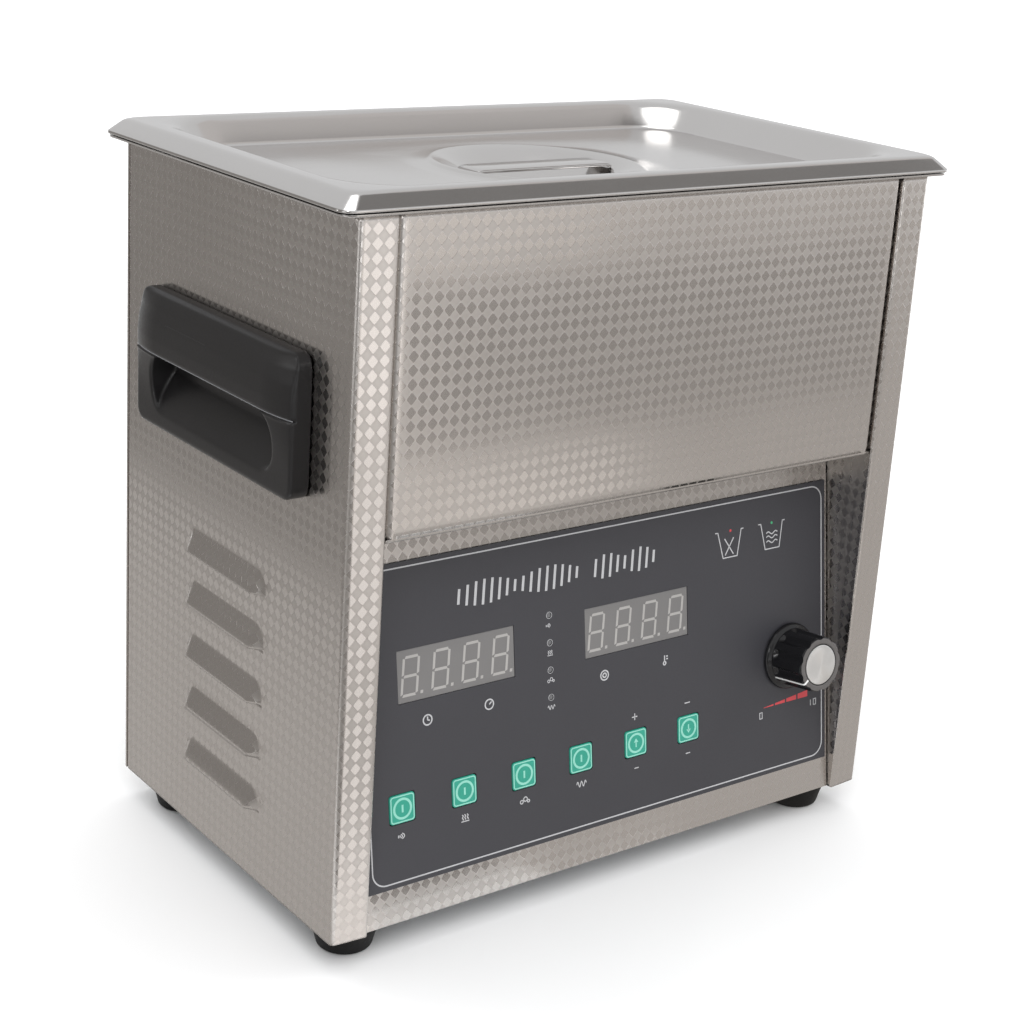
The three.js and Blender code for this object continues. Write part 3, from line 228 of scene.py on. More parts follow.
def spun_aluminium(name, centre, axis):
    """A turned disc: fine rings about its axis, which vary the gloss, and reflections drawn out round the axis."""
    shader = Shader(name, Metallic=1.0)
    source = shader.node("TexCoord").outputs["Object"]
    offset = shader.node("VectorMath", {0: source, 1: centre}, operation="DISTANCE").outputs["Value"]
    rings = shader.math("SINE", shader.math("MULTIPLY", offset, 2 * math.pi / (0.28 * MM)))
    cloud = shader.noise(source, 500.0, 3.0)
    shader.colour(shader.blend(cloud, (0.93, 0.93, 0.92), (0.97, 0.97, 0.96)))
    shader.roughness(shader.spread(rings, 0.36, 0.44, -1.0, 1.0))
    spoke = shader.node("VectorMath", {0: source, 1: centre}, operation="SUBTRACT").outputs[0]
    around = shader.node("VectorMath", {0: axis, 1: spoke}, operation="CROSS_PRODUCT").outputs[0]
    space = {"vector_type": "VECTOR", "convert_from": "OBJECT", "convert_to": "WORLD"}
    turned = shader.node("VectorTransform", {"Vector": around}, **space)
    shader.tree.links.new(turned.outputs[0], shader.surface.inputs["Tangent"])
    shader.surface.inputs["Anisotropic"].default_value = 0.9
    return shader.material


MATERIALS = {
    "emboss_side": embossed_steel("embossed_steel_side", "UV", dull_return=True),
    "emboss_uv": embossed_steel("embossed_steel_uv", "UV"),
    "emboss": embossed_steel("embossed_steel_flat", "Object"),
    "drawn": steel("drawn_steel", (0.66, 0.645, 0.635), 0.17, (0.08, 1, 1)),
    "wire": steel("wire_steel", (0.66, 0.65, 0.64), 0.24),
    "zinc": steel("zinc_steel", (0.56, 0.57, 0.58), 0.38),
    "aluminium": steel("cast_aluminium", (0.72, 0.72, 0.73), 0.36),
    "black": moulded("black_plastic", (0.0155, 0.0145, 0.0145), 0.38, 1100.0, 0.008),
    "handle": moulded("handle_plastic", (0.0098, 0.0092, 0.0097), 0.34, 1100.0, 0.006),
    # painted highlight: the light grey of the line along the handle bar's lower lip stands for light caught on that
    # edge
    "lip": moulded("painted_lip_highlight", (0.16, 0.16, 0.17), 0.22, 700.0, 0.003),
    "gloss": moulded("gloss_black", (0.008, 0.008, 0.009), 0.16, 500.0, 0.004),
    "rubber": moulded("rubber", (0.005, 0.0047, 0.0047), 0.6, 1500.0, 0.02, Specular_IOR_Level=0.25),
    "film": moulded("film", (0.042, 0.0415, 0.048), 0.50, 1800.0, 0.006, 0.05),
    "print": moulded("print_grey", (0.46, 0.46, 0.47), 0.55, 1500.0, 0.004, 0.05),
    "green": moulded("key_green", (0.022, 0.305, 0.218), 0.42, 900.0, 0.01, 0.08),
    "mint": moulded("key_print", (0.25, 0.60, 0.49), 0.5, 900.0, 0.004, 0.04),
    "red": moulded("print_red", (0.55, 0.05, 0.06), 0.5, 900.0, 0.004, 0.08),
    "spark": moulded("print_green", (0.05, 0.36, 0.16), 0.5, 900.0, 0.004, 0.08),
    "display": moulded("display_face", (0.165, 0.160, 0.158), 0.34, 1300.0, 0.006, 0.05),
    "segment": moulded("display_segment", (0.37, 0.356, 0.342), 0.4, 900.0, 0.004, 0.04),
    "lamp": moulded("lamp_lens", (0.13, 0.13, 0.135), 0.2, 700.0, 0.003, 0.1),
    "satin": moulded("knob_face", (0.105, 0.098, 0.095), 0.42, 900.0, 0.004, 0.06),
    "white": moulded("print_white", (0.80, 0.80, 0.79), 0.45, 900.0, 0.004, 0.03),
    "board": moulded("board", (0.012, 0.10, 0.045), 0.45, 600.0, 0.03, 0.2),
    "piezo": moulded("piezo_ceramic", (0.27, 0.25, 0.21), 0.6, 800.0, 0.02),
    "silicone": moulded("silicone", (0.48, 0.09, 0.025), 0.6, 700.0, 0.05),
    "ferrite": moulded("ferrite", (0.035, 0.034, 0.030), 0.6, 600.0, 0.03),
}

# ---------------------------------------------------------------- making pieces


def finish_piece(obj, body, material, replaces=()):
    obj.data.materials.clear()
    obj.data.materials.append(MATERIALS[material] if isinstance(material, str) else material)
    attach(obj, body)
    if replaces:
        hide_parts(*replaces)
    return obj


def smooth(obj, angle=35.0):
    mesh = obj.data
    mesh.polygons.foreach_set("use_smooth", [True] * len(mesh.polygons))
    mesh.set_sharp_from_angle(angle=math.radians(angle))
    return obj


def linked(name, data):
    obj = bpy.data.objects.new(name, data)
    bpy.context.scene.collection.objects.link(obj)
    return obj


def mesh_object(name, points, faces):
    mesh = bpy.data.meshes.new(name)
    mesh.from_pydata(points, [], faces)
    mesh.validate()
    mesh.update()
    return linked(name, mesh)


def baked(obj):
    """obj with its modifiers applied, so that what follows works on its final mesh."""
    bpy.context.view_layer.update()
    graph = bpy.context.evaluated_depsgraph_get()
    mesh = bpy.data.meshes.new_from_object(obj.evaluated_get(graph))
    obj.modifiers.clear()
    old = obj.data
    obj.data = mesh
    bpy.data.meshes.remove(old)
    return obj


def thicken(obj, thickness):
    modifier = obj.modifiers.new("sheet", "SOLIDIFY")
    modifier.thickness = thickness * MM
    modifier.offset = -1
    modifier.use_even_offset = True
    return obj


def round_edges(obj, width):
    modifier = obj.modifiers.new("edges", "BEVEL")
    modifier.width = width * MM
    modifier.segments = 2
    modifier.limit_method = "ANGLE"
    modifier.angle_limit = math.radians(35)
    modifier.harden_normals = False


def mirrored(obj, name):
    """A copy of obj on the other side of the cleaner, with its faces turned the right way out."""
    mesh = obj.data.copy()
    copy = linked(name, mesh)
    mesh.transform(Matrix.Scale(-1, 4, (1, 0, 0)))
    mesh.flip_normals()
    for modifier in obj.modifiers:
        twin = copy.modifiers.new(modifier.name, modifier.type)
        for prop in modifier.bl_rna.properties:
            if not prop.is_readonly and prop.identifier != "name":
                setattr(twin, prop.identifier, getattr(modifier, prop.identifier))
    return copy


def face_up(obj):
    """Turns a skin's faces over if they look down on the whole."""
    if sum(p.normal.z * p.area for p in obj.data.polygons) < 0:
        obj.data.flip_normals()
    return obj


def loft(name, rings, closed_start=False, closed_end=False):
    """A skin through rings of points that all hold the same number of points."""
    size = len(rings[0])
    points = [point for ring in rings for point in ring]
    faces = []
    for level in range(len(rings) - 1):
        low, high = level * size, (level + 1) * size
        for j in range(size):
            k = (j + 1) % size
            faces.append((low + j, low + k, high + k, high + j))
    if closed_start:
        faces.append(tuple(reversed(range(size))))
    if closed_end:
        faces.append(tuple((len(rings) - 1) * size + j for j in range(size)))
    return mesh_object(name, points, faces)


def lathe(name, profile, place_point, sides=48, radius_at=None):
    """Turns [radius, height] pairs; a zero radius closes the skin. radius_at may vary the radius by angle."""
    rings = []
    for radius, height in profile:
        ring = []
        for j in range(sides):
            angle = 2 * math.pi * j / sides
            r = radius_at(radius, height, angle) if radius_at else radius
            ring.append(place_point(r * math.cos(angle), r * math.sin(angle), height))
        rings.append(ring)
    return weld(loft(name, rings), 0.001)


def weld(obj, distance):
    work = bmesh.new()
    work.from_mesh(obj.data)
    bmesh.ops.remove_doubles(work, verts=work.verts, dist=distance * MM)
    bmesh.ops.dissolve_degenerate(work, edges=work.edges, dist=1e-7)
    bmesh.ops.recalc_face_normals(work, faces=work.faces)
    work.to_mesh(obj.data)
    work.free()
    obj.data.update()
    return obj


def round_ring(x, y, radius, z, arc=10, long_steps=24, short_steps=12):
    """Points round a rounded rectangle, with steps along its straight sides too."""
    corners = [(x - radius, y - radius), (radius - x, y - radius), (radius - x, radius - y), (x - radius, radius - y)]
    ring = []
    for index, (cx, cy) in enumerate(corners):
        for step in range(arc + 1):
            angle = (index + step / arc) * math.pi / 2
            ring.append((cx + radius * math.cos(angle), cy + radius * math.sin(angle)))
        nx, ny = corners[(index + 1) % 4]
        end_angle = (index + 1) * math.pi / 2
        from_x, from_y = ring[-1]
        to_x, to_y = nx + radius * math.cos(end_angle), ny + radius * math.sin(end_angle)
        steps = long_steps if index % 2 == 0 else short_steps
        for step in range(1, steps):
            t = step / steps
            ring.append((from_x + (to_x - from_x) * t, from_y + (to_y - from_y) * t))
    return [place(px, py, z) for px, py in ring]


def eased(sections, cuts, steps=5):
    """Rounds the corners of a list of sections: each corner is cut back by its own length and bent."""
    result = []
    for i, section in enumerate(sections):
        cut = cuts[i]
        if not cut or i in (0, len(sections) - 1):
            result.append(section)
            continue

        def toward(other):
            length = math.dist((section[0], section[3]), (other[0], other[3]))
            t = min(0.49, cut / length)
            return [a + (b - a) * t for a, b in zip(section, other)]

        start, end = toward(sections[i - 1]), toward(sections[i + 1])
        for k in range(steps + 1):
            t = k / steps
            weights = ((1 - t) ** 2, 2 * t * (1 - t), t * t)
            result.append([sum(w * p for w, p in zip(weights, three)) for three in zip(start, section, end)])
    return result


def wire(name, paths, radius, cyclic=False, resolution=2):
    """Round wires along lists of points, as one curve object."""
    data = bpy.data.curves.new(name, "CURVE")
    data.dimensions = "3D"
    data.bevel_depth = radius * MM
    data.bevel_resolution = resolution
    data.use_fill_caps = True
    for path in paths:
        spline = data.splines.new("POLY")
        spline.points.add(len(path) - 1)
        for point, place_at in zip(spline.points, path):
            point.co = (*place_at, 1)
        spline.use_cyclic_u = cyclic
        spline.use_smooth = True
    return linked(name, data)


def cushioned_block(name, to_world, low, high, corner, edge, dome=0.0, arc=5):
    """A block with rounded corners in its own plane and an eased front edge, drawn in (x, v, outward height)."""
    half = ((high[0] - low[0]) / 2, (high[1] - low[1]) / 2)
    middle = ((high[0] + low[0]) / 2, (high[1] + low[1]) / 2)
    back, front = low[2], high[2]
    levels = [(0, back), (0, front - edge)]
    for step in range(1, 5):
        angle = step / 4 * math.pi / 2
        levels.append((edge * (1 - math.cos(angle)), front - edge + edge * math.sin(angle)))
    for share in (0.35, 0.7):
        levels.append((edge + (min(half) - edge) * share, front + dome * share * (2 - share)))
    rings = []
    for inset, level in levels:
        hx, hv = half[0] - inset, half[1] - inset
        radius = max(0.05, min(corner - inset * 0.7, hx, hv))
        ring = []
        for index, (sx, sv) in enumerate(((1, 1), (-1, 1), (-1, -1), (1, -1))):
            for step in range(arc + 1):
                angle = (index + step / arc) * math.pi / 2
                x = middle[0] + sx * (hx - radius) + radius * math.cos(angle)
                v = middle[1] + sv * (hv - radius) + radius * math.sin(angle)
                ring.append(to_world(x, v, level))
        rings.append(ring)
    return loft(name, rings, closed_start=True, closed_end=True)


# ---------------------------------------------------------------- folded sheets


class Fold:
    """A sheet's path in plan: straight runs joined by round bends, walked by its length."""

    def __init__(self, corners, radii):
        points, arc_steps = [], 8
        for i, corner in enumerate(corners):
            if i in (0, len(corners) - 1):
                points.append(Vector(corner))
                continue
            here, before, after = Vector(corner), Vector(corners[i - 1]), Vector(corners[i + 1])
            back, ahead = (before - here).normalized(), (after - here).normalized()
            reach = radii[i - 1] / math.tan(back.angle(ahead) / 2)
            start, end = here + back * reach, here + ahead * reach
            centre = here + (back + ahead).normalized() * (radii[i - 1] / math.sin(back.angle(ahead) / 2))
            sweep = (start - centre).angle_signed(end - centre)
            for step in range(arc_steps + 1):
                turn = Matrix.Rotation(-sweep * step / arc_steps, 2)
                points.append(centre + turn @ (start - centre))
        self.points = points
        self.lengths = [0.0]
        for a, b in zip(points, points[1:]):
            self.lengths.append(self.lengths[-1] + (b - a).length)

    def at(self, s):
        i = 0
        while i < len(self.lengths) - 2 and s > self.lengths[i + 1] + 1e-9:
            i += 1
        a, b = self.points[i], self.points[i + 1]
        t = (s - self.lengths[i]) / max(1e-9, self.lengths[i + 1] - self.lengths[i])
        along = (b - a).normalized()
        return a + (b - a) * t, Vector((-along.y, along.x))


def stations(low, high, step, extras):
    """Even places from low to high, with extra ones put in and even ones too close to those left out."""
    kept = sorted({low, high, *[e for e in extras if low < e < high]})
    even = [step * k for k in range(math.ceil(low / step), math.floor(high / step) + 1)]
    even = [e for e in even if all(abs(e - k) > step * 0.35 for k in kept)]
    return sorted(kept + even)


def louvre_reach(y, z, lip):
    """How far a louvre stands out at a point: flat between its rounded ends, deepest at its lip."""
    along = max(0.0, (abs(y) - (LOUVRE_HALF - 5.5)) / 5.5)
    up = (z - lip) / LOUVRE_HEIGHT
    distance = math.hypot(along, up)
    if distance >= 1:
        return 0.0
    return LOUVRE_REACH * min(1.0, (1 - distance) * 1.18)


def unwrapped_face(work, layer, grid, cell, columns, heights):
    """A face over four (row, column) places of a grid of points, with the flat sheet's places as its texture's."""
    face = work.faces.new([grid[row][column] for row, column in cell])
    for loop, (row, column) in zip(face.loops, cell):
        loop[layer].uv = (columns[column] * MM, heights[row] * MM)


def folded_sheet(name, fold, rows, columns, keep, push):
    """A sheet on a fold. Its rows are (height, side of a slit).

    keep says which cells the sheet has, and push how far each of its points stands out.
    """
    work = bmesh.new()
    layer = work.loops.layers.uv.new("UVMap")
    plan = [fold.at(s) for s in columns]
    heights = [z for z, side in rows]
    grid = []
    for z, side in rows:
        line = []
        for point, outward in plan:
            where = point + outward * push(point, z, side)
            line.append(work.verts.new(place(where.x, where.y, z)))
        grid.append(line)
    for j in range(len(rows) - 1):
        if heights[j] == heights[j + 1]:
            continue
        for i in range(len(columns) - 1):
            middle_s, middle_z = (columns[i] + columns[i + 1]) / 2, (heights[j] + heights[j + 1]) / 2
            if keep((plan[i][0] + plan[i + 1][0]) / 2, middle_s, middle_z):
                cell = ((j, i), (j + 1, i), (j + 1, i + 1), (j, i + 1))
                unwrapped_face(work, layer, grid, cell, columns, heights)
    bmesh.ops.delete(work, geom=[v for v in work.verts if not v.link_faces], context="VERTS")
    bmesh.ops.remove_doubles(work, verts=work.verts, dist=1e-6)
    mesh = bpy.data.meshes.new(name)
    work.to_mesh(mesh)
    work.free()
    return linked(name, mesh)


def build_side_panels():
    """Each side is one sheet: a return and a flange at the front, the side with its louvres, a flange at the rear."""
    rear = HALF_DEPTH - SHEET - REAR_GAP
    fold = Fold(
        [
            (-FLANGE_INNER, -HALF_DEPTH + DEEP_RETURN), (-FLANGE_INNER, -HALF_DEPTH - SPRUNG),
            (-HALF_WIDTH, -HALF_DEPTH), (-HALF_WIDTH, rear), (-HALF_WIDTH + REAR_FLANGE, rear),
        ],
        [0.9, 1.8, 1.0],
    )
    half, low, high = HANDLE_WINDOW
    lips = [LOUVRE_LIP + i * LOUVRE_PITCH for i in range(LOUVRE_COUNT)]
    tops = [lip + LOUVRE_HEIGHT for lip in lips]
    side_start = fold.lengths[-1] - REAR_FLANGE - 2 * HALF_DEPTH + SHEET + REAR_GAP
    edges = [side_start + HALF_DEPTH + y for y in (-half, half, -LOUVRE_HALF, LOUVRE_HALF)]
    columns = stations(0.0, fold.lengths[-1], DIAMOND_WIDTH / 4, [*fold.lengths, *edges, SHORT_RETURN])
    heights = stations(0.0, HEIGHT, DIAMOND_HEIGHT / 4, [low, high, NOTCH_Z, *lips, *tops])
    rows = []
    for z in heights:
        rows += [(z, -1), (z, 1)] if z in lips else [(z, 0)]

    def keep(point, s, z):
        in_window = abs(point.y) < half and low < z < high and point.x < -HALF_WIDTH + 0.1
        above_ledge = s < DEEP_RETURN - SHORT_RETURN and z > NOTCH_Z
        return not in_window and not above_ledge

    def push(point, z, side):
        if point.x > -HALF_WIDTH + 0.01 or abs(point.y) > LOUVRE_HALF:
            return 0.0
        for lip in lips:
            if lip <= z < lip + LOUVRE_HEIGHT and not (z == lip and side < 0):
                return louvre_reach(point.y, z, lip)
        return 0.0

    left = thicken(smooth(folded_sheet("left_side_sheet", fold, rows, columns, keep, push), 30), SHEET)
    right = mirrored(left, "right_side_sheet")
    finish_piece(left, "housing", "emboss_side", ["left_side_panel"])
    finish_piece(right, "housing", "emboss_side", ["right_side_panel"])


def build_front_panel():
    """The upper front sheet and, welded to its lower edge, the bend and the ledge over the control panel."""
    half, front = FLANGE_INNER - 0.7, -HALF_DEPTH
    back = front + SHORT_RETURN - SHEET
    fold = Fold([(half, back), (half, front), (-half, front), (-half, back)], [FRONT_BEND, FRONT_BEND])
    columns = stations(0.0, fold.lengths[-1], DIAMOND_WIDTH / 2, fold.lengths)
    rows = [(z, 0) for z in stations(LEDGE_Z + LEDGE_BEND, HEIGHT, DIAMOND_HEIGHT / 2, [])]
    sheet = folded_sheet("front_upper_sheet", fold, rows, columns, lambda *a: True, lambda *a: 0.0)
    work = bmesh.new()
    work.from_mesh(sheet.data)
    layer = work.loops.layers.uv["UVMap"]
    profile = []
    for step in range(9):
        angle = step / 8 * math.pi / 2
        y = front + LEDGE_BEND - LEDGE_BEND * math.cos(angle)
        profile.append((y, LEDGE_Z + LEDGE_BEND - LEDGE_BEND * math.sin(angle)))
    profile.append((front + LEDGE_REACH, LEDGE_Z))
    xs = [-half, -half + FRONT_BEND, half - FRONT_BEND, half]
    grid = [[work.verts.new(place(x, y, z)) for x in xs] for y, z in profile]
    heights = [LEDGE_Z]
    run = 0.0
    for before, after in zip(profile, profile[1:]):
        run += math.dist(before, after)
        heights.append(LEDGE_Z - run)
    for j in range(len(profile) - 1):
        for i in range(len(xs) - 1):
            unwrapped_face(work, layer, grid, ((j, i), (j, i + 1), (j + 1, i + 1), (j + 1, i)), xs, heights)
    bmesh.ops.remove_doubles(work, verts=work.verts, dist=1e-6)
    bmesh.ops.recalc_face_normals(work, faces=work.faces)
    work.to_mesh(sheet.data)
    work.free()
    thicken(smooth(sheet, 40), SHEET)
    finish_piece(sheet, "housing", "emboss_uv", ["front_upper_panel"])


# ---------------------------------------------------------------- lid, tank and basket


def build_lid():
    """The drawn lid: its skirt, raised rim and recessed floor, with the round dish pressed into its middle."""
    sections = eased(
        [
            (132.9, 81.0, 5.0, 249.6), (132.9, 81.0, 5.0, 250.4), (127.7, 76.4, 4.0, 255.2),
            (120.4, 70.4, 28.0, 255.2), (113.6, 63.6, 21.4, 245.4), (112.0, 62.0, 20.0, LID_FLOOR),
        ],
        [0, 0.3, 1.6, 2.6, 1.4, 0],
    )
    rings = [round_ring(*section) for section in sections]
    outer = rings[-1]
    angles = [math.atan2(y, x) for x, y, _ in outer]

    def dish_ring(radius, z):
        return [place(radius * math.cos(a), radius * math.sin(a), z) for a in angles]

    dish_edge = dish_ring(DISH_RADIUS + 3.2, LID_FLOOR)
    for step in range(1, 9):
        t = step / 8
        height = (LID_FLOOR + 0.55 * math.sin(math.pi * t) ** 2 + STAND) * MM  # the floor is crowned a little
        rings.append([(a[0] + (b[0] - a[0]) * t, a[1] + (b[1] - a[1]) * t, height) for a, b in zip(outer, dish_edge)])
    for reach, rise in ((2.4, 0.3), (1.5, 0.75), (0.7, 0.95), (0.0, 0.8)):
        rings.append(dish_ring(DISH_RADIUS + reach, LID_FLOOR + rise))
    for step in range(1, 25):
        share = 1 - step / 24
        depth = DISH_DEPTH * (0.5 + 0.5 * math.cos(math.pi * share**1.6)) - 0.8 * share**8
        rings.append(dish_ring(max(DISH_RADIUS * share, 0.0001), LID_FLOOR - depth))
    lid = face_up(weld(loft("lid_sheet", rings), 0.002))
    thicken(smooth(lid, 40), 0.8)
    finish_piece(lid, "lid", "drawn", ["lid_pan"])


def build_strap():
    half_width, thickness, top = 6.4, 1.4, LID_FLOOR + 0.2
    side = [
        (half_width - 0.6, 0), (half_width - 0.18, -0.18), (half_width, -0.6), (half_width, 0.3 - thickness),
        (half_width - 0.3, -thickness),
    ]
    section = side + [(-y, z) for y, z in reversed(side)]
    ends = [(30.4, 0.6), (29.6, 0.32), (28.8, 0.1), (27.6, 0.0)]  # distance from the middle, and drop, at each end
    spine = [(-x, drop) for x, drop in ends] + [(-20 + 5 * i, 0.0) for i in range(9)] + ends[::-1]
    rings = [[place(x, y, top - drop + z) for y, z in section] for x, drop in spine]
    strap = smooth(weld(loft("lid_strap_bar", rings, closed_start=True, closed_end=True), 0.001), 50)
    finish_piece(strap, "lid", "drawn", ["lid_strap"])


def build_tank():
    """The deep-drawn tank: floor, fillet, straight wall and the flange that it hangs from."""
    sections = []
    for step in range(9):
        angle = (step / 8 - 1) * math.pi / 2
        across = TANK_FILLET * math.cos(angle) - TANK_FILLET
        z = TANK_FLOOR + TANK_FILLET + TANK_FILLET * math.sin(angle)
        sections.append((115.5 + across, 64.0 + across, 20.0 + across, z))
    sections += [
        (120.0, 68.5, 20.0, 247.0), (120.6, 69.1, 20.6, 248.4), (122.0, 70.5, 22.0, 249.0),
        (132.4, 80.5, 5.0, 249.0), (132.4, 80.5, 5.0, 248.3),
    ]
    rings = [round_ring(*section) for section in sections]
    centre = [[(x * share, y * share, z) for x, y, z in rings[0]] for share in (0.0, 0.25, 0.5, 0.75)]
    tank = face_up(weld(loft("tank_pan", centre + rings), 0.002))
    thicken(smooth(tank, 40), 0.7)
    finish_piece(tank, "housing", "drawn", ["tank"])


def basket_reach(z, axis):
    """How far the basket's wall stands from its middle at a height, along X (axis 0) or Y (axis 1)."""
    low, high = BASKET_BOTTOM[axis], BASKET_TOP[axis]
    wall = BASKET_FLOOR + BASKET_FILLET
    if z < wall:
        drop = (wall - z) / BASKET_FILLET
        return low - BASKET_FILLET + BASKET_FILLET * math.sqrt(max(0.0, 1 - drop * drop))
    return low + (high - low) * (z - BASKET_FLOOR - BASKET_FILLET) / (BASKET_RIM - BASKET_FLOOR - BASKET_FILLET)


def basket_wire(axis, offset, index, levels):
    """One wire up a wall, across the floor and up the other wall, swaying over and under those that it crosses."""
    sway, inner = 0.36, BASKET_BOTTOM[axis] - BASKET_FILLET
    profile = [(basket_reach(z, axis), z) for z in [BASKET_RIM - 1, *reversed(levels)]]
    for a in (0.5, 0.9, 1.3):
        point = (inner + BASKET_FILLET * math.cos(a), BASKET_FLOOR + BASKET_FILLET - BASKET_FILLET * math.sin(a))
        profile += [point] if point[1] < levels[0] else []
    count = int(inner / BASKET_PITCH)
    profile += [(BASKET_PITCH * (count - i), BASKET_FLOOR) for i in range(count)]
    path = []
    for step, (reach, z) in enumerate(profile + [(0.0, BASKET_FLOOR)] + [(-a, z) for a, z in reversed(profile)]):
        bend = sway if (step + index) % 2 else -sway
        on_floor = abs(reach) < inner + 1
        a = reach + (0 if on_floor else math.copysign(bend, reach))
        height = z + (bend if on_floor else 0) + BASKET_WIRE
        path.append(place(a, offset, height) if axis == 0 else place(offset, a, height))
    return path


def build_basket():
    """A woven wire basket: wires up its walls and across its floor, wires round it, a rim and four feet."""
    floor, rim, corner = BASKET_FLOOR, BASKET_RIM, BASKET_CORNER
    levels = [floor + BASKET_PITCH * (i + 0.7) for i in range(int((rim - floor) / BASKET_PITCH))]
    paths = [basket_wire(0, i * BASKET_PITCH, i, levels) for i in range(-7, 8)]
    paths += [basket_wire(1, i * BASKET_PITCH, i + 1, levels) for i in range(-15, 16)]
    for step in (1, 2, 3):
        angle = step / 4 * math.pi / 2
        turn_x, turn_y = corner * math.cos(angle), corner * math.sin(angle)
        for sx, sy in ((1, 1), (-1, 1), (-1, -1), (1, -1)):
            path = []
            for z in [rim - 1, *reversed(levels), floor + 1.2]:
                x, y = basket_reach(z, 0) - corner + turn_x, basket_reach(z, 1) - corner + turn_y
                path.append(place(sx * x, sy * y, z))
            path.append(place(sx * (BASKET_BOTTOM[0] - corner), sy * (BASKET_BOTTOM[1] - corner), floor + 0.5))
            paths.append(path)
    weave = wire("basket_weave", paths, BASKET_WIRE, resolution=1)
    finish_piece(weave, "basket", "wire", ["basket"])
    loops = [round_ring(basket_reach(z, 0), basket_reach(z, 1), corner, z, 8, 2, 2) for z in levels]
    hoops = wire("basket_hoops", loops, BASKET_WIRE, cyclic=True, resolution=1)
    finish_piece(hoops, "basket", "wire")
    rim_sections = [
        (106.0, 56.0, 14.0, rim - 3.4), (106.0, 56.0, 14.0, rim - 0.6), (106.6, 56.6, 14.6, rim),
        (107.9, 57.9, 15.9, rim), (108.5, 58.5, 16.5, rim - 0.6), (108.5, 58.5, 16.5, rim - 1.6),
    ]
    band = thicken(smooth(loft("basket_rim", [round_ring(*s) for s in rim_sections]), 50), 0.5)
    finish_piece(band, "basket", "wire")
    leg = [(7, floor + 0.4), (6.4, 153.0), (5, 150.6), (3, 149.9)]
    feet = []
    for x in (-84, 84):
        for y in (-36, 36):
            feet.append([place(x, y - a, z) for a, z in leg] + [place(x, y + a, z) for a, z in reversed(leg)])
    legs = wire("basket_feet", feet, 1.1)
    finish_piece(legs, "basket", "wire")


def build_bails():
    x, half, bottom, top, bend = 102.8, 38.5, 200.0, 236.0, 8.0
    for side, name in ((-1, "left"), (1, "right")):
        path = [place(side * x, -half, bottom + 3 * i) for i in range(int((top - bend - bottom) / 3) + 1)]
        for step in range(1, 9):
            angle = math.pi - step / 8 * math.pi / 2
            path.append(place(side * x, -half + bend + bend * math.cos(angle), top - bend + bend * math.sin(angle)))
        whole = path + [(px, -py, pz) for px, py, pz in reversed(path)]
        bail = wire(f"basket_bail_{name}", [whole], 1.5, resolution=3)
        finish_piece(bail, "basket", "wire", [f"basket_handle_{name}"])


# ---------------------------------------------------------------- handles and feet


def ramp(value, low, high):
    """0 below low, 1 above high, with an eased rise between them."""
    t = min(1.0, max(0.0, (value - low) / (high - low)))
    return t * t * (3 - 2 * t)


def bar_roll(side):
    """How far the handle's bar has rolled back at a distance from its middle."""
    roll = max(0.0, (side - 37) / 17)
    return 2.1 * roll * roll


def sculpt_handle(mesh):
    """Rolls the bar's ends back into the frame and sweeps the frame's ends up to meet the bar's lip."""
    lip, frame_reach = BAR_LIP_Z, 7.5
    for vertex in mesh.vertices:
        out = -vertex.co.x / MM - HALF_WIDTH
        y, z = vertex.co.y / MM, vertex.co.z / MM - STAND
        side = abs(y)
        if out > 5.0 and z > lip - 0.4:
            out -= bar_roll(side) * ramp(out, 4.0, 8.5)
        elif out > 5.0 and side > 40:
            climb = max(0.0, (z - 158) / (lip - 158))
            target = frame_reach + (BAR_LIP_REACH - bar_roll(side) - frame_reach) * climb**1.8
            out += (target - frame_reach) * ramp(out, 5.0, 7.4)
        if 160 < z <= lip + 0.2 and out > -3.0:
            t = min(1.0, max(0.0, (z - 168) / (lip - 168)))
            sweep = 8.0 * (1 - math.sqrt(max(0.0, 1 - t * t)))
            weight = ramp(side, 18, 42) * (1 - ramp(side, 42, 52))
            y -= math.copysign(sweep * weight, y)
        vertex.co.x = -(HALF_WIDTH + min(out, 9.69)) * MM
        vertex.co.y = y * MM


def build_handles():
    """The moulded handles: the CAD handle's own shape, remeshed fine and smoothed so that its edges are round."""
    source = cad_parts["handle_left"].data.copy()
    handle = linked("handle_left_moulding", source)
    remesh = handle.modifiers.new("fine", "REMESH")
    remesh.mode = "VOXEL"
    remesh.voxel_size = 0.6 * MM
    relax = handle.modifiers.new("relax", "SMOOTH")
    relax.factor = 0.5
    relax.iterations = 4
    baked(handle)
    sculpt_handle(handle.data)
    smooth(handle, 180)
    twin = mirrored(handle, "handle_right_moulding")
    finish_piece(handle, "housing", "handle", ["handle_left"])
    finish_piece(twin, "housing", "handle", ["handle_right"])
    mark_y, mark_z, half_long, half_high = 15, 186, 13.5, 3.2  # the empty outline moulded in the bar
    for side, name in ((-1, "left"), (1, "right")):
        outline = []
        for index, (sy, sz) in enumerate(((-1, -1), (1, -1), (1, 1), (-1, 1))):
            for step in range(4):
                angle = math.pi + (index + step / 3) * math.pi / 2
                y = mark_y + sy * half_long + 1.5 * math.cos(angle)
                z = mark_z + sz * half_high + 1.2 * math.sin(angle)
                reach = 9.5 - 0.0125 * max(0.0, z - 183.5) ** 2  # the bar's face bends back towards its top
                outline.append(place(side * (HALF_WIDTH + reach), y, z))
        # A light grey wire along the bar's lower lip: a painted highlight on that edge.
        edge = []
        for step in range(37):
            y = -54.0 + 3.0 * step
            edge.append(place(side * (HALF_WIDTH + 9.3 - bar_roll(abs(y))), y, 178.5))
        mark = wire(f"handle_{name}_outline", [outline], 0.16, cyclic=True)
        finish_piece(mark, "housing", "handle")
        line = wire(f"handle_{name}_edge", [edge], 0.22)
        finish_piece(line, "housing", "lip")


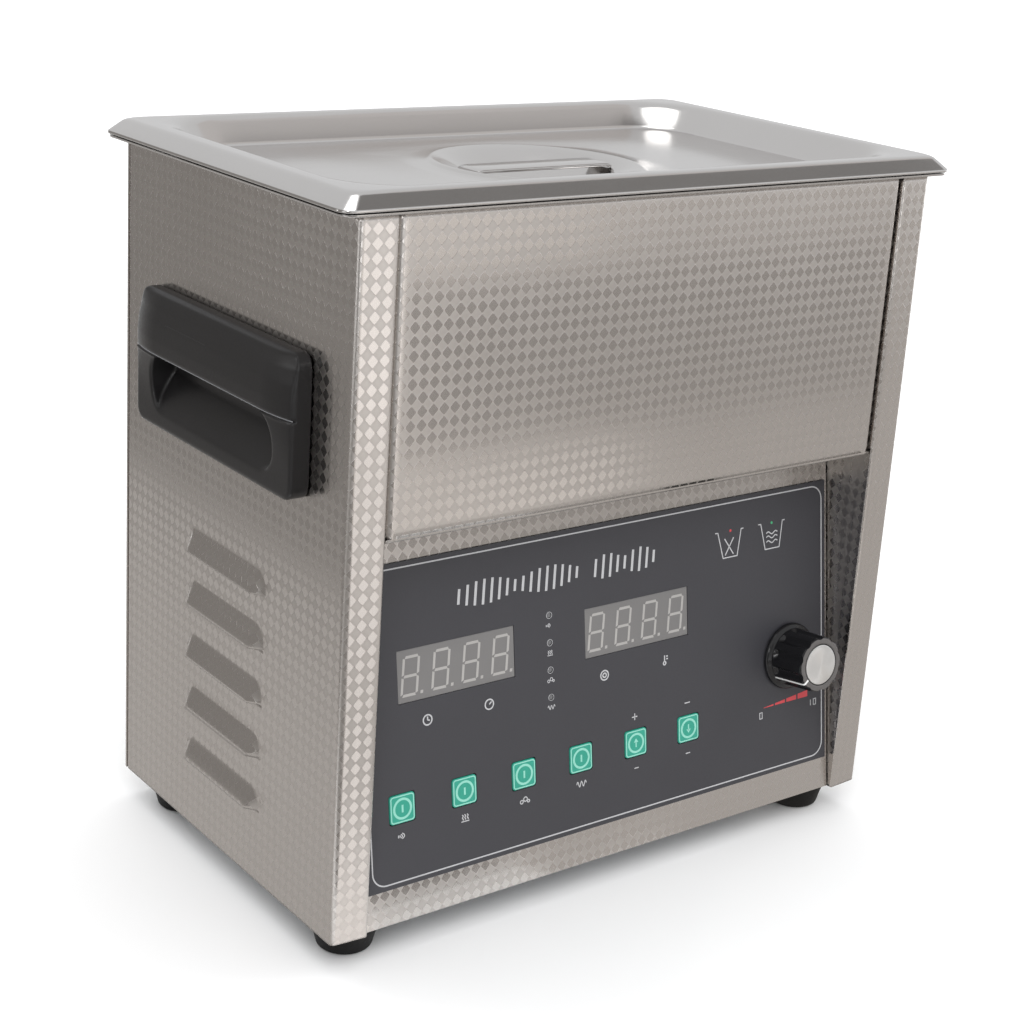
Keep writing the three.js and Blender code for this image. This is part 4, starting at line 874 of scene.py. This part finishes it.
def build_feet():
    profile = [
        (2.3, -1.9), (2.3, -6.5), (4.0, -6.5), (4.0, -11.6), (4.3, -11.95), (8.2, -12.0), (9.2, -11.75), (9.8, -11.2),
        (10.1, -10.3), (10.9, -7.2), (11.7, -4.4), (12.2, -2.9), (12.25, -2.3), (11.9, -1.9), (2.3, -1.9),
    ]
    for end, y in (("front", -59.6), ("rear", 59.6)):
        for side, x in (("left", -108.5), ("right", 108.5)):
            name = f"{end}_{side}"
            foot = lathe(f"rubber_foot_{name}", profile, lambda px, py, h: place(x + px, y + py, h), 48)
            smooth(foot, 40)
            finish_piece(foot, "housing", "rubber", [f"foot_{name}"])


# ---------------------------------------------------------------- control panel


def outline_strip(points, width, closed=False):
    """Quads along a line of points in the panel's plane, mitred at its bends."""
    count = len(points)
    edges = []
    for i, (x, v) in enumerate(points):
        before = points[i - 1] if closed or i > 0 else None
        after = points[(i + 1) % count] if closed or i < count - 1 else None
        along = Vector((0.0, 0.0))
        if before:
            along += (Vector((x, v)) - Vector(before)).normalized()
        if after:
            along += (Vector(after) - Vector((x, v))).normalized()
        along = along.normalized()
        normal = Vector((-along.y, along.x))
        stretch = 1.0
        if before and after:
            leg = (Vector(after) - Vector((x, v))).normalized()
            stretch = 1 / max(0.45, abs(along.dot(leg)))
        offset = normal * (width / 2 * stretch)
        edges.append(((x - offset.x, v - offset.y), (x + offset.x, v + offset.y)))
    quads = []
    for i in range(count if closed else count - 1):
        a, b = edges[i], edges[(i + 1) % count]
        quads.append([a[0], b[0], b[1], a[1]])
    return quads


def arc_points(cx, cv, rx, rv, start, end, steps):
    angles = [math.radians(start + (end - start) * i / steps) for i in range(steps + 1)]
    return [(cx + rx * math.cos(a), cv + rv * math.sin(a)) for a in angles]


def rounded_outline(low, high, radius, steps=6):
    points = []
    for index, (x, v) in enumerate(
        ((high[0] - radius, high[1] - radius), (low[0] + radius, high[1] - radius),
         (low[0] + radius, low[1] + radius), (high[0] - radius, low[1] + radius))
    ):
        points += arc_points(x, v, radius, radius, 90 * index, 90 * index + 90, steps)
    return points


def printed(name, polygons, material, body="housing", lift=0.05, base=0.0):
    """Ink on the panel: thin raised shapes drawn in (x, v), standing lift proud of depth base."""
    work = bmesh.new()
    for polygon in polygons:
        front = [work.verts.new(on_panel(x, v, base - lift)) for x, v in polygon]
        back = [work.verts.new(on_panel(x, v, base + 0.02)) for x, v in polygon]
        work.faces.new(front)
        work.faces.new(list(reversed(back)))
        for i in range(len(polygon)):
            k = (i + 1) % len(polygon)
            work.faces.new((front[k], front[i], back[i], back[k]))
    bmesh.ops.recalc_face_normals(work, faces=work.faces)
    mesh = bpy.data.meshes.new(name)
    work.to_mesh(mesh)
    work.free()
    return finish_piece(linked(name, mesh), body, material)


def disc(cx, cv, radius, steps=20):
    return arc_points(cx, cv, radius, radius, 0, 360 - 360 / steps, steps - 1)


def ring_strip(cx, cv, radius, width, steps=28):
    return outline_strip(disc(cx, cv, radius, steps), width, closed=True)


def bar(x0, v0, x1, v1, width):
    return outline_strip([(x0, v0), (x1, v1)], width)


def wave(x0, x1, v, height, cycles, width, steps=24):
    points = []
    for i in range(steps + 1):
        t = i / steps
        points.append((x0 + (x1 - x0) * t, v + height * math.sin(2 * math.pi * cycles * t)))
    return outline_strip(points, width)


def heading_mark():
    """The heading: two groups of slanted bars of rising and falling height, like a burst of sound."""
    middle, tallest, shortest, pitch, width, slant = 110.6, 9.0, 0.42, 3.45, 1.05, 0.12
    polygons = []
    for start, count in ((-67.8, 16), (-7.6, 9)):
        for i in range(count):
            x = start + i * pitch
            height = tallest * (shortest + 0.58 * abs(math.sin((i + 0.8) / count * math.pi * 2.0)))
            low = middle - height / 2
            polygons += bar(x, low, x + slant * height, low + height, width)
    return polygons


def icon(kind, x, v, size):
    """A small pictogram, centred on (x, v) and size tall."""
    h, line = size / 2, size * 0.14

    def stroke(*points):
        return outline_strip([(x + a * h, v + b * h) for a, b in points], line)

    def ring(a, b, radius, steps=18):
        return ring_strip(x + a * h, v + b * h, h * radius, line, steps)

    if kind == "sound":
        shapes = stroke((-1.5, -0.4), (-1.5, 0.4))
        for k in (0.6, 1.2, 1.8):
            shapes += outline_strip(arc_points(x - h * 1.6, v, h * k * 1.1, h * k * 0.55, -50, 50, 8), line)
        return shapes
    if kind == "heat":
        shapes = stroke((-1.3, -1), (1.3, -1))
        for k in (-0.8, 0.0, 0.8):
            shapes += stroke(*[(k + 0.18 * math.sin(t * 1.4), 0.2 * t - 0.6) for t in range(9)])
        return shapes
    if kind == "bubbles":
        return ring(-1, -0.3, 0.5, 14) + ring(0.3, 0.3, 0.62, 14) + ring(1.3, -0.4, 0.38, 14)
    if kind == "sweep":
        return wave(x - h * 1.7, x + h * 1.7, v, h * 0.75, 2.5, line, 40)
    if kind == "clock":
        return ring(0, 0, 1) + stroke((0, 0), (0, 0.65)) + stroke((0, 0), (0.5, -0.2))
    if kind == "tick":
        return ring(0, 0, 1) + stroke((0, 0), (0.55, 0.45))
    if kind == "target":
        return ring(0, 0, 1) + ring(0, 0, 0.45, 12)
    marks = stroke((0.45, 0.2), (0.9, 0.2)) + stroke((0.45, 0.75), (0.9, 0.75))  # a thermometer with its scale
    return stroke((0, -0.3), (0, 1)) + ring(0, -0.65, 0.35, 12) + marks


def beaker(left, right, top, foot_left, foot_right, bottom):
    line = 0.42
    glass = outline_strip([(left, top), (foot_left, bottom), (foot_right, bottom), (right, top)], line)
    lips = bar(left - 1.4, top + 0.1, left + 0.2, top, line) + bar(right - 0.2, top, right + 1.2, top + 0.1, line)
    return glass + lips


def number(text, x, v, height):
    """Plain digits for the dial's ends, made of straight strokes."""
    strokes = {"0": [(0, 0), (0, 1), (0.55, 1), (0.55, 0)], "1": [(0.28, 0), (0.28, 1)]}
    polygons = []
    for i, digit in enumerate(text):
        points = [(x + (a + i * 0.95) * height, v + b * height) for a, b in strokes[digit]]
        polygons += outline_strip(points, height * 0.14, closed=digit == "0")
    return polygons


def build_film_prints():
    """Everything printed on the film round the knob, the keys, the lamps and the displays."""
    margin = 1.9
    low, high = (-FILM_HALF + margin, FILM_BOTTOM + margin), (FILM_HALF - margin, FILM_TOP - margin)
    grey = outline_strip(rounded_outline(low, high, 5.5, 8), 0.5, closed=True) + heading_mark()
    for kind, x in (("clock", -82.2), ("tick", -56.1), ("target", -4.1), ("thermometer", 24.8)):
        grey += icon(kind, x, 69.9, 3.6)
    kinds = ("sound", "heat", "bubbles", "sweep")
    for kind, v in zip(kinds, LAMP_V):
        grey += icon(kind, LAMP_X, v - 3.7, 1.9)
    for i, kind in enumerate(kinds):
        grey += icon(kind, KEY_FIRST + i * KEY_PITCH, 31.2, 2.6)
    grey += bar(9.2, 31.2, 11.2, 31.2, 0.4) + bar(34.6, 31.2, 36.8, 31.2, 0.4)
    grey += bar(8.5, 51.1, 11.1, 51.1, 0.42) + bar(9.8, 49.8, 9.8, 52.4, 0.42) + bar(34.4, 51.1, 37.0, 51.1, 0.42)
    grey += number("0", 73.2, 36.4, 2.4) + number("10", 100.2, 36.2, 2.4)
    printed("film_marks", grey, "print")

    dark = beaker(52.3, 64.2, 114.0, 54.8, 62.0, 103.9) + beaker(74.5, 85.9, 114.0, 76.7, 84.1, 103.8)
    dark += bar(55.7, 111.3, 60.1, 104.9, 0.45) + bar(60.3, 111.3, 55.9, 104.9, 0.45)
    for v in (110.0, 108.4, 106.5):
        dark += wave(77.4, 83.2, v, 0.5, 1.5, 0.42, 18)
    printed("film_level_marks", dark, "print")
    printed("film_red_dot", [disc(58.7, 114.1, 0.55, 14)], "red")
    printed("film_green_dot", [disc(80.2, 113.9, 0.55, 14)], "spark")

    start, end, tall, foot = 75.3, 100.0, 2.5, 40.4
    wedge = []
    for i in range(4):
        a, b = start + (end - start) * i / 4, start + (end - start) * (i + 0.86) / 4
        top_a, top_b = [foot + tall * (x - start) / (end - start) + 0.15 for x in (a, b)]
        wedge.append([(a, foot), (b, foot), (b, top_b), (a, top_a)])
    printed("film_power_scale", wedge, "red")
    for i, v in enumerate(LAMP_V):
        printed(f"film_lamp_ring_{i + 1}", ring_strip(LAMP_X, v, 1.2, 0.15, 20), "print")


def digit_segments(x, v):
    """The seven bars of one figure and its point, slanted as on a common display module."""
    width, height, line, slant = 7.1, 14.2, 0.95, 0.122
    gap = 0.28

    def leaning(*points):
        return [(x + px + slant * pv, v + pv) for px, pv in points]

    shapes = []
    for level in (0.0, height / 2, height):
        centre = min(max(level, line / 2), height - line / 2)
        low, high = centre - line / 2, centre + line / 2
        near, far = gap + 0.5, gap + 0.9
        shapes.append(leaning((near, low), (width - near, low), (width - far, high), (far, high)))
    for side in (0.0, width - line):
        for low, high in ((gap + 0.4, height / 2 - gap), (height / 2 + gap, height - gap - 0.4)):
            shapes.append(leaning((side, low), (side + line, low + 0.4), (side + line, high - 0.4), (side, high)))
    point = width + 1.1
    shapes.append(leaning((point, 0.1), (point + 1.1, 0.1), (point + 1.1, 1.2), (point, 1.2)))
    return shapes


def build_displays():
    """Two four-digit displays, a little smaller than their openings; their figures are unlit."""
    half_x, half_v = DISPLAY_SIZE[0] / 2 - 0.05, DISPLAY_SIZE[1] / 2 - 0.05
    first, foot, pitch = -23.7, -7.2, 12.62  # the first figure's corner from the display's middle, and their spacing
    for name, x in zip(("timer_display", "temperature_display"), DISPLAY_X):
        low, high = (x - half_x, DISPLAY_V - half_v, -8.5), (x + half_x, DISPLAY_V + half_v, -0.12)
        body = cushioned_block(f"{name}_module", off_panel, low, high, 0.5, 0.25)
        smooth(body, 30)
        finish_piece(body, "housing", "display", [name])
        shapes = []
        for i in range(4):
            shapes += digit_segments(x + first + i * pitch, DISPLAY_V + foot)
        printed(f"{name}_figures", shapes, "segment", base=0.12, lift=0.03)


def build_keys():
    """Six soft keys in the film: a power mark on the first four, an arrow up and an arrow down on the last two."""
    for i, name in enumerate(KEYS):
        x, half = KEY_FIRST + i * KEY_PITCH, KEY_SIZE / 2
        body = f"key_{name}"
        low, high = (x - half, KEY_V - half, -1.0), (x + half, KEY_V + half, 0.26)
        cap = cushioned_block(f"{body}_cap", off_panel, low, high, 1.2, 0.28, 0.03)
        smooth(cap, 30)
        finish_piece(cap, body, "green", [body])
        inset = half - 0.55
        border = rounded_outline((x - inset, KEY_V - inset), (x + inset, KEY_V + inset), 0.9, 4)
        marks = outline_strip(border, 0.45, closed=True) + ring_strip(x, KEY_V, 3.45, 0.85, 36)
        if i < 4:
            marks += bar(x, KEY_V - 1.35, x, KEY_V + 1.35, 0.75)
        else:
            up = 1 if i == 4 else -1
            marks += bar(x, KEY_V - 1.6 * up, x, KEY_V + 0.5 * up, 0.6)
            marks += [[(x - 1.1, KEY_V + 0.3 * up), (x + 1.1, KEY_V + 0.3 * up), (x, KEY_V + 1.8 * up)]]
        printed(f"{body}_marks", marks, "mint", body=body, base=-0.29, lift=0.02)


def build_lamps():
    profile = [
        (0.0001, 0.02), (0.5, -0.01), (0.85, -0.12), (1.05, -0.3), (1.1, -0.6), (1.1, -5.9), (1.9, -6.0), (1.9, -9.6),
        (0.0001, -9.6),
    ]
    for i, v in enumerate(LAMP_V):
        lamp = lathe(f"lamp_{i + 1}_lens", profile, lambda px, pv, out: off_panel(LAMP_X + px, v + pv, out), 24)
        smooth(lamp, 40)
        finish_piece(lamp, "housing", "lamp", [f"lamp_{i + 1}"])


def at_knob(x, v, out):
    return off_panel(KNOB_X + x, KNOB_V + v, out)


def scalloped(radius, height, angle):
    """The knob's radius with its flutes, which start above the skirt and cut only the outer part."""
    start, full, centre, flute = 3.2, 4.6, 12.55, 2.6
    share = min(1.0, max(0.0, (height - start) / (full - start)))
    if share == 0 or radius < 8.5:
        return radius
    step = 2 * math.pi / KNOB_FLUTES
    phi = ((angle / step) % 1 - 0.5) * step
    under = flute**2 - (centre * math.sin(phi)) ** 2
    if under <= 0:
        return radius
    cut = centre * math.cos(phi) - math.sqrt(under)
    return min(radius, radius + (cut - radius) * share)


def build_knob():
    """The fluted power knob and the satin ring on its top."""
    top = KNOB_HEIGHT
    profile = [
        (3.2, 0.6), (12.9, 0.6), (13.15, 0.8), (13.1, 1.4), (12.8, 2.0), (12.3, 2.4), (11.6, 2.6), (11.3, 2.9),
        (11.28, 3.2), *[(11.27 - 0.02 * i, 3.4 + 0.25 * i) for i in range(6)],
        *[(11.1 - 0.02 * i, 5.2 + 1.1 * i) for i in range(11)], (10.85, 16.9), (10.8, 17.5), (10.62, 17.9),
        (10.35, 18.05), (10.0, top), (9.2, top), (8.4, top), (8.12, top - 0.08), (8.1, top - 1.15), (7.9, top - 1.2),
        (3.3, top - 1.2), (3.2, 4.0), (3.2, 0.6),
    ]
    knob = lathe("knob_body", profile, at_knob, KNOB_SIDES, scalloped)
    smooth(knob, 38)
    finish_piece(knob, "knob", "gloss", ["knob"])

    ring = [(8.16, top + 0.02), (9.0, top + 0.03), (9.9, top + 0.02), (10.3, top - 0.01)]
    face = lathe("knob_face", ring, at_knob, KNOB_SIDES, scalloped)
    if face.data.polygons[0].normal.y > 0:
        face.data.flip_normals()
    thicken(face, 0.04)
    smooth(face, 38)
    finish_piece(face, "knob", "satin")


def build_pointer():
    """The white line from the knob's cap over its rim and down its side."""
    top, half = KNOB_HEIGHT, 0.42
    across = Vector((-math.sin(POINTER_ANGLE), math.cos(POINTER_ANGLE)))
    out = Vector((math.cos(POINTER_ANGLE), math.sin(POINTER_ANGLE)))
    line = [
        (8.3, top + 0.09), (10.1, top + 0.09), (10.5, top + 0.02), (10.87, top - 0.4), (10.96, top - 1.2),
        (11.34, 3.2), (11.5, 2.55),
    ]
    points = []
    for radius, height in line:
        for side in (-half, half):
            spot = out * radius + across * side
            points.append(at_knob(spot.x, spot.y, height))
    faces = [(2 * i, 2 * i + 1, 2 * i + 3, 2 * i + 2) for i in range(len(line) - 1)]
    pointer = mesh_object("knob_pointer", points, faces)
    centre = Vector(at_knob(0, 0, 9))
    if sum((p.center - centre).dot(p.normal) for p in pointer.data.polygons) < 0:
        pointer.data.flip_normals()
    thicken(pointer, 0.12)
    smooth(pointer, 40)
    finish_piece(pointer, "knob", "white")


def build_knob_cap():
    face, foot = KNOB_HEIGHT + 0.3, KNOB_HEIGHT - 0.9
    profile = [
        (0.0001, face - 0.02), (2.5, face - 0.03), (5.0, face - 0.03), (7.3, face - 0.04), (7.62, face - 0.12),
        (7.78, face - 0.3), (7.8, foot), (0.0001, foot),
    ]
    cap = lathe("knob_cap_disc", profile, at_knob, 96)
    smooth(cap, 40)
    axis = (0.0, -math.cos(TILT), math.sin(TILT))
    spun = spun_aluminium("spun_aluminium", at_knob(0, 0, KNOB_HEIGHT), axis)
    finish_piece(cap, "knob", spun, ["knob_cap"])


# ---------------------------------------------------------------- CAD nodes that stay

KEPT = {
    "emboss": ["back_panel", "control_panel_plate"],
    "zinc": [
        "base_plate", *[f"foot_screw_{end}_{side}" for end in ("front", "rear") for side in ("left", "right")],
        *[f"{part}_{side}" for part in ("back_mass", "transducer_bolt") for side in ("left", "right")],
        "temperature_sensor", "potentiometer",
    ],
    "aluminium": ["transducer_horn_left", "transducer_horn_right", "potentiometer_shaft", "heat_sink"],
    "piezo": ["piezo_stack_left", "piezo_stack_right"],
    "silicone": ["heater_pad"],
    "film": ["overlay_film"],
    "board": ["display_board", "generator_board"],
    "ferrite": ["output_transformer"],
    "black": ["fan_frame", "fan_rotor"],
    "gloss": ["inlet_socket", "rocker_housing", "rocker", "fuse_holder", "fuse_cap"],
}
EASED = {
    "back_panel": 0.25, "control_panel_plate": 0.2, "fan_frame": 0.4, "fan_rotor": 0.25, "inlet_socket": 0.5,
    "rocker_housing": 0.4, "rocker": 0.5, "fuse_holder": 0.4, "fuse_cap": 0.5, "heat_sink": 0.3, "base_plate": 0.2,
}


def dress_cad_nodes():
    for material, names in KEPT.items():
        for name in names:
            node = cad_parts[name]
            node.data.materials.clear()
            node.data.materials.append(MATERIALS[material])
            if name in EASED:
                round_edges(node, EASED[name])


# ---------------------------------------------------------------- floor, light and camera


def card(name, centre, size, turn, strength, tone=(1, 1, 1)):
    """A studio card that only reflections see. Its turn is in degrees; without one it faces the cleaner."""
    mesh = bpy.data.meshes.new(name)
    w, h = size[0] / 2, size[1] / 2
    mesh.from_pydata([(-w, -h, 0), (w, -h, 0), (w, h, 0), (-w, h, 0)], [], [(0, 1, 2, 3)])
    obj = linked(name, mesh)
    obj.location = centre
    if turn is None:
        obj.rotation_euler = (Vector((0, 0, 0.25)) - Vector(centre)).to_track_quat("Z", "Y").to_euler()
    else:
        obj.rotation_euler = [math.radians(a) for a in turn]
    material = bpy.data.materials.new(name)
    material.use_nodes = True
    nodes = material.node_tree.nodes
    nodes.clear()
    light = nodes.new("ShaderNodeEmission")
    light.inputs[0].default_value = (*tone, 1)
    light.inputs[1].default_value = strength
    output = nodes.new("ShaderNodeOutputMaterial")
    material.node_tree.links.new(light.outputs[0], output.inputs[0])
    mesh.materials.append(material)
    for ray in ("camera", "diffuse", "shadow", "transmission"):
        setattr(obj, f"visible_{ray}", False)


def build_floor():
    """White paper that glows a little more away from the cleaner, as a lit sweep does."""
    floor_mesh = bpy.data.meshes.new("floor")
    floor_mesh.from_pydata([(-6, -6, 0), (6, -6, 0), (6, 6, 0), (-6, 6, 0)], [], [(0, 1, 2, 3)])
    floor = linked("floor", floor_mesh)
    shader = Shader("floor_paper", Roughness=0.9)
    cloud = shader.noise(shader.coordinates(), 3.0, 3.0)
    shader.colour(shader.blend(cloud, (0.86, 0.86, 0.86), (0.90, 0.90, 0.90)))
    away = shader.node("VectorMath", {0: shader.coordinates()}, operation="LENGTH").outputs["Value"]
    shader.surface.inputs["Emission Color"].default_value = (1, 1, 1, 1)
    shader.tree.links.new(shader.spread(away, 0.0, 0.5, 0.5, 2.2), shader.surface.inputs["Emission Strength"])
    floor_mesh.materials.append(shader.material)
    floor.location.z = -0.0002


def build_world():
    """The camera sees plain white behind the cleaner, and everything else a slightly dimmer sky."""
    world = bpy.data.worlds.new("studio")
    bpy.context.scene.world = world
    world.use_nodes = True
    nodes, links = world.node_tree.nodes, world.node_tree.links
    nodes.clear()
    output = nodes.new("ShaderNodeOutputWorld")
    mix = nodes.new("ShaderNodeMixShader")
    seen, unseen = nodes.new("ShaderNodeBackground"), nodes.new("ShaderNodeBackground")
    seen.inputs[0].default_value, seen.inputs[1].default_value = (1, 1, 1, 1), 1.0
    unseen.inputs[0].default_value, unseen.inputs[1].default_value = (0.985, 0.99, 1.0, 1), 0.74
    path = nodes.new("ShaderNodeLightPath")
    links.new(path.outputs["Is Camera Ray"], mix.inputs[0])
    links.new(unseen.outputs[0], mix.inputs[1])
    links.new(seen.outputs[0], mix.inputs[2])
    links.new(mix.outputs[0], output.inputs[0])


def build_lights():
    """Soft lights that make no reflections of their own; the cards make those."""
    lamps = [
        ("key_light", (-0.9, -1.3, 1.7), 1.3, 22.0),
        ("top_light", (0.2, 0.2, 2.1), 1.6, 16.0),
        ("right_light", (1.6, -0.7, 1.1), 1.0, 9.0),
        ("back_light", (-0.7, 1.6, 1.3), 1.1, 8.0),
    ]
    for name, location, size, power in lamps:
        data = bpy.data.lights.new(name, "AREA")
        data.shape, data.size, data.energy = "SQUARE", size, power
        light = linked(name, data)
        light.location = location
        aim = Vector((0, 0, 0.12)) - Vector(location)
        light.rotation_euler = aim.to_track_quat("-Z", "Y").to_euler()
        light.visible_glossy = False
WARM, PALE = (1.0, 0.955, 0.915), (1.0, 0.97, 0.95)
CARDS = (
    ("left_back_card", (-0.314, 0.605, 0.3125), (1.39, 0.625), (90, 0, 90), 0.29, WARM),
    ("left_floor_card", (-0.2195, 0.505, 0.001), (0.189, 1.19), (0, 0, 0), 0.545, (1.0, 0.965, 0.935)),
    ("camera_side_card", (-0.82, -0.78, 0.36), (0.6, 0.72), None, 0.12, WARM),
    ("front_dark_card", (0.20, -0.30, 0.135), (0.34, 0.085), (90, 0, 0), 0.38, WARM),
    ("front_shade_card", (-0.42, -0.55, 0.0015), (0.9, 0.84), (0, 0, 0), 0.32, WARM),
    ("near_strip_card", (-0.0644, -0.1899, 0.003), (0.25, 0.026), (0, 0, -64.6), 1.12, PALE),
    ("far_strip_card", (0.0643, -0.4609, 0.003), (0.35, 0.052), (0, 0, -64.6), 1.12, PALE),
    ("strip_card", (0.139, -0.619, 0.16), (0.080, 0.34), (90, 0, 25.4), 1.38, PALE),
    ("front_floor_left_card", (0.465, -1.281, 0.001), (2.4, 0.78), (0, 0, -52.56), 0.84, WARM),
    ("front_floor_right_card", (1.092, -0.801, 0.001), (2.4, 0.80), (0, 0, -52.56), 0.55, WARM),
    ("near_floor_card", (0.19, -0.20, 0.002), (0.40, 0.2), (0, 0, 0), 0.54, WARM),
    ("overhead_card", (-0.15, -0.06, 1.25), (0.62, 0.62), (0, 0, 0), 2.6),
    ("skirt_card", (0.26, -0.166, 0.55), (0.56, 0.148), (0, 0, 0), 0.25, PALE),
    ("right_high_card", (0.74, -0.27, 1.14), (1.0, 0.6), None, 0.66, (1.0, 0.965, 0.945)),
    ("camera_left_card", (-0.62, -0.56, 0.42), (0.18, 0.18), None, 6.0),
    ("handle_card", (-0.30, 0.054, 0.271), (0.064, 0.064), None, 2.8),
)


def build_camera():
    """The photograph's view: in front of the left corner, a little above the lid."""
    azimuth, elevation, roll = math.radians(-37.463), math.radians(17.445), math.radians(3.672)
    distance, target = 0.75129, Vector((-0.00596, 0.0, 0.14588))
    flat = math.cos(elevation)
    back = Vector((math.sin(azimuth) * flat, -math.cos(azimuth) * flat, math.sin(elevation)))
    level = Vector((math.cos(azimuth), math.sin(azimuth), 0))
    upward = back.cross(level)
    right = level * math.cos(roll) + upward * math.sin(roll)
    up = upward * math.cos(roll) - level * math.sin(roll)
    data = bpy.data.cameras.new("camera")
    data.sensor_width, data.lens = 36.0, 69.597
    data.shift_x, data.shift_y = 0.00729, -0.05384
    data.clip_start, data.clip_end = 0.01, 50
    camera = linked("camera", data)
    turned = Matrix((right, up, back)).transposed().to_4x4()
    camera.matrix_world = Matrix.Translation(target + back * distance) @ turned
    bpy.context.scene.camera = camera
    bpy.context.scene.view_settings.view_transform = "Standard"


build_camera()
build_floor()
build_world()
build_lights()
for values in CARDS:
    card(*values)
dress_cad_nodes()
build_side_panels()
build_front_panel()
build_lid()
build_strap()
build_tank()
build_basket()
build_bails()
build_handles()
build_feet()
build_displays()
build_keys()
build_lamps()
build_film_prints()
build_knob()
build_pointer()
build_knob_cap()
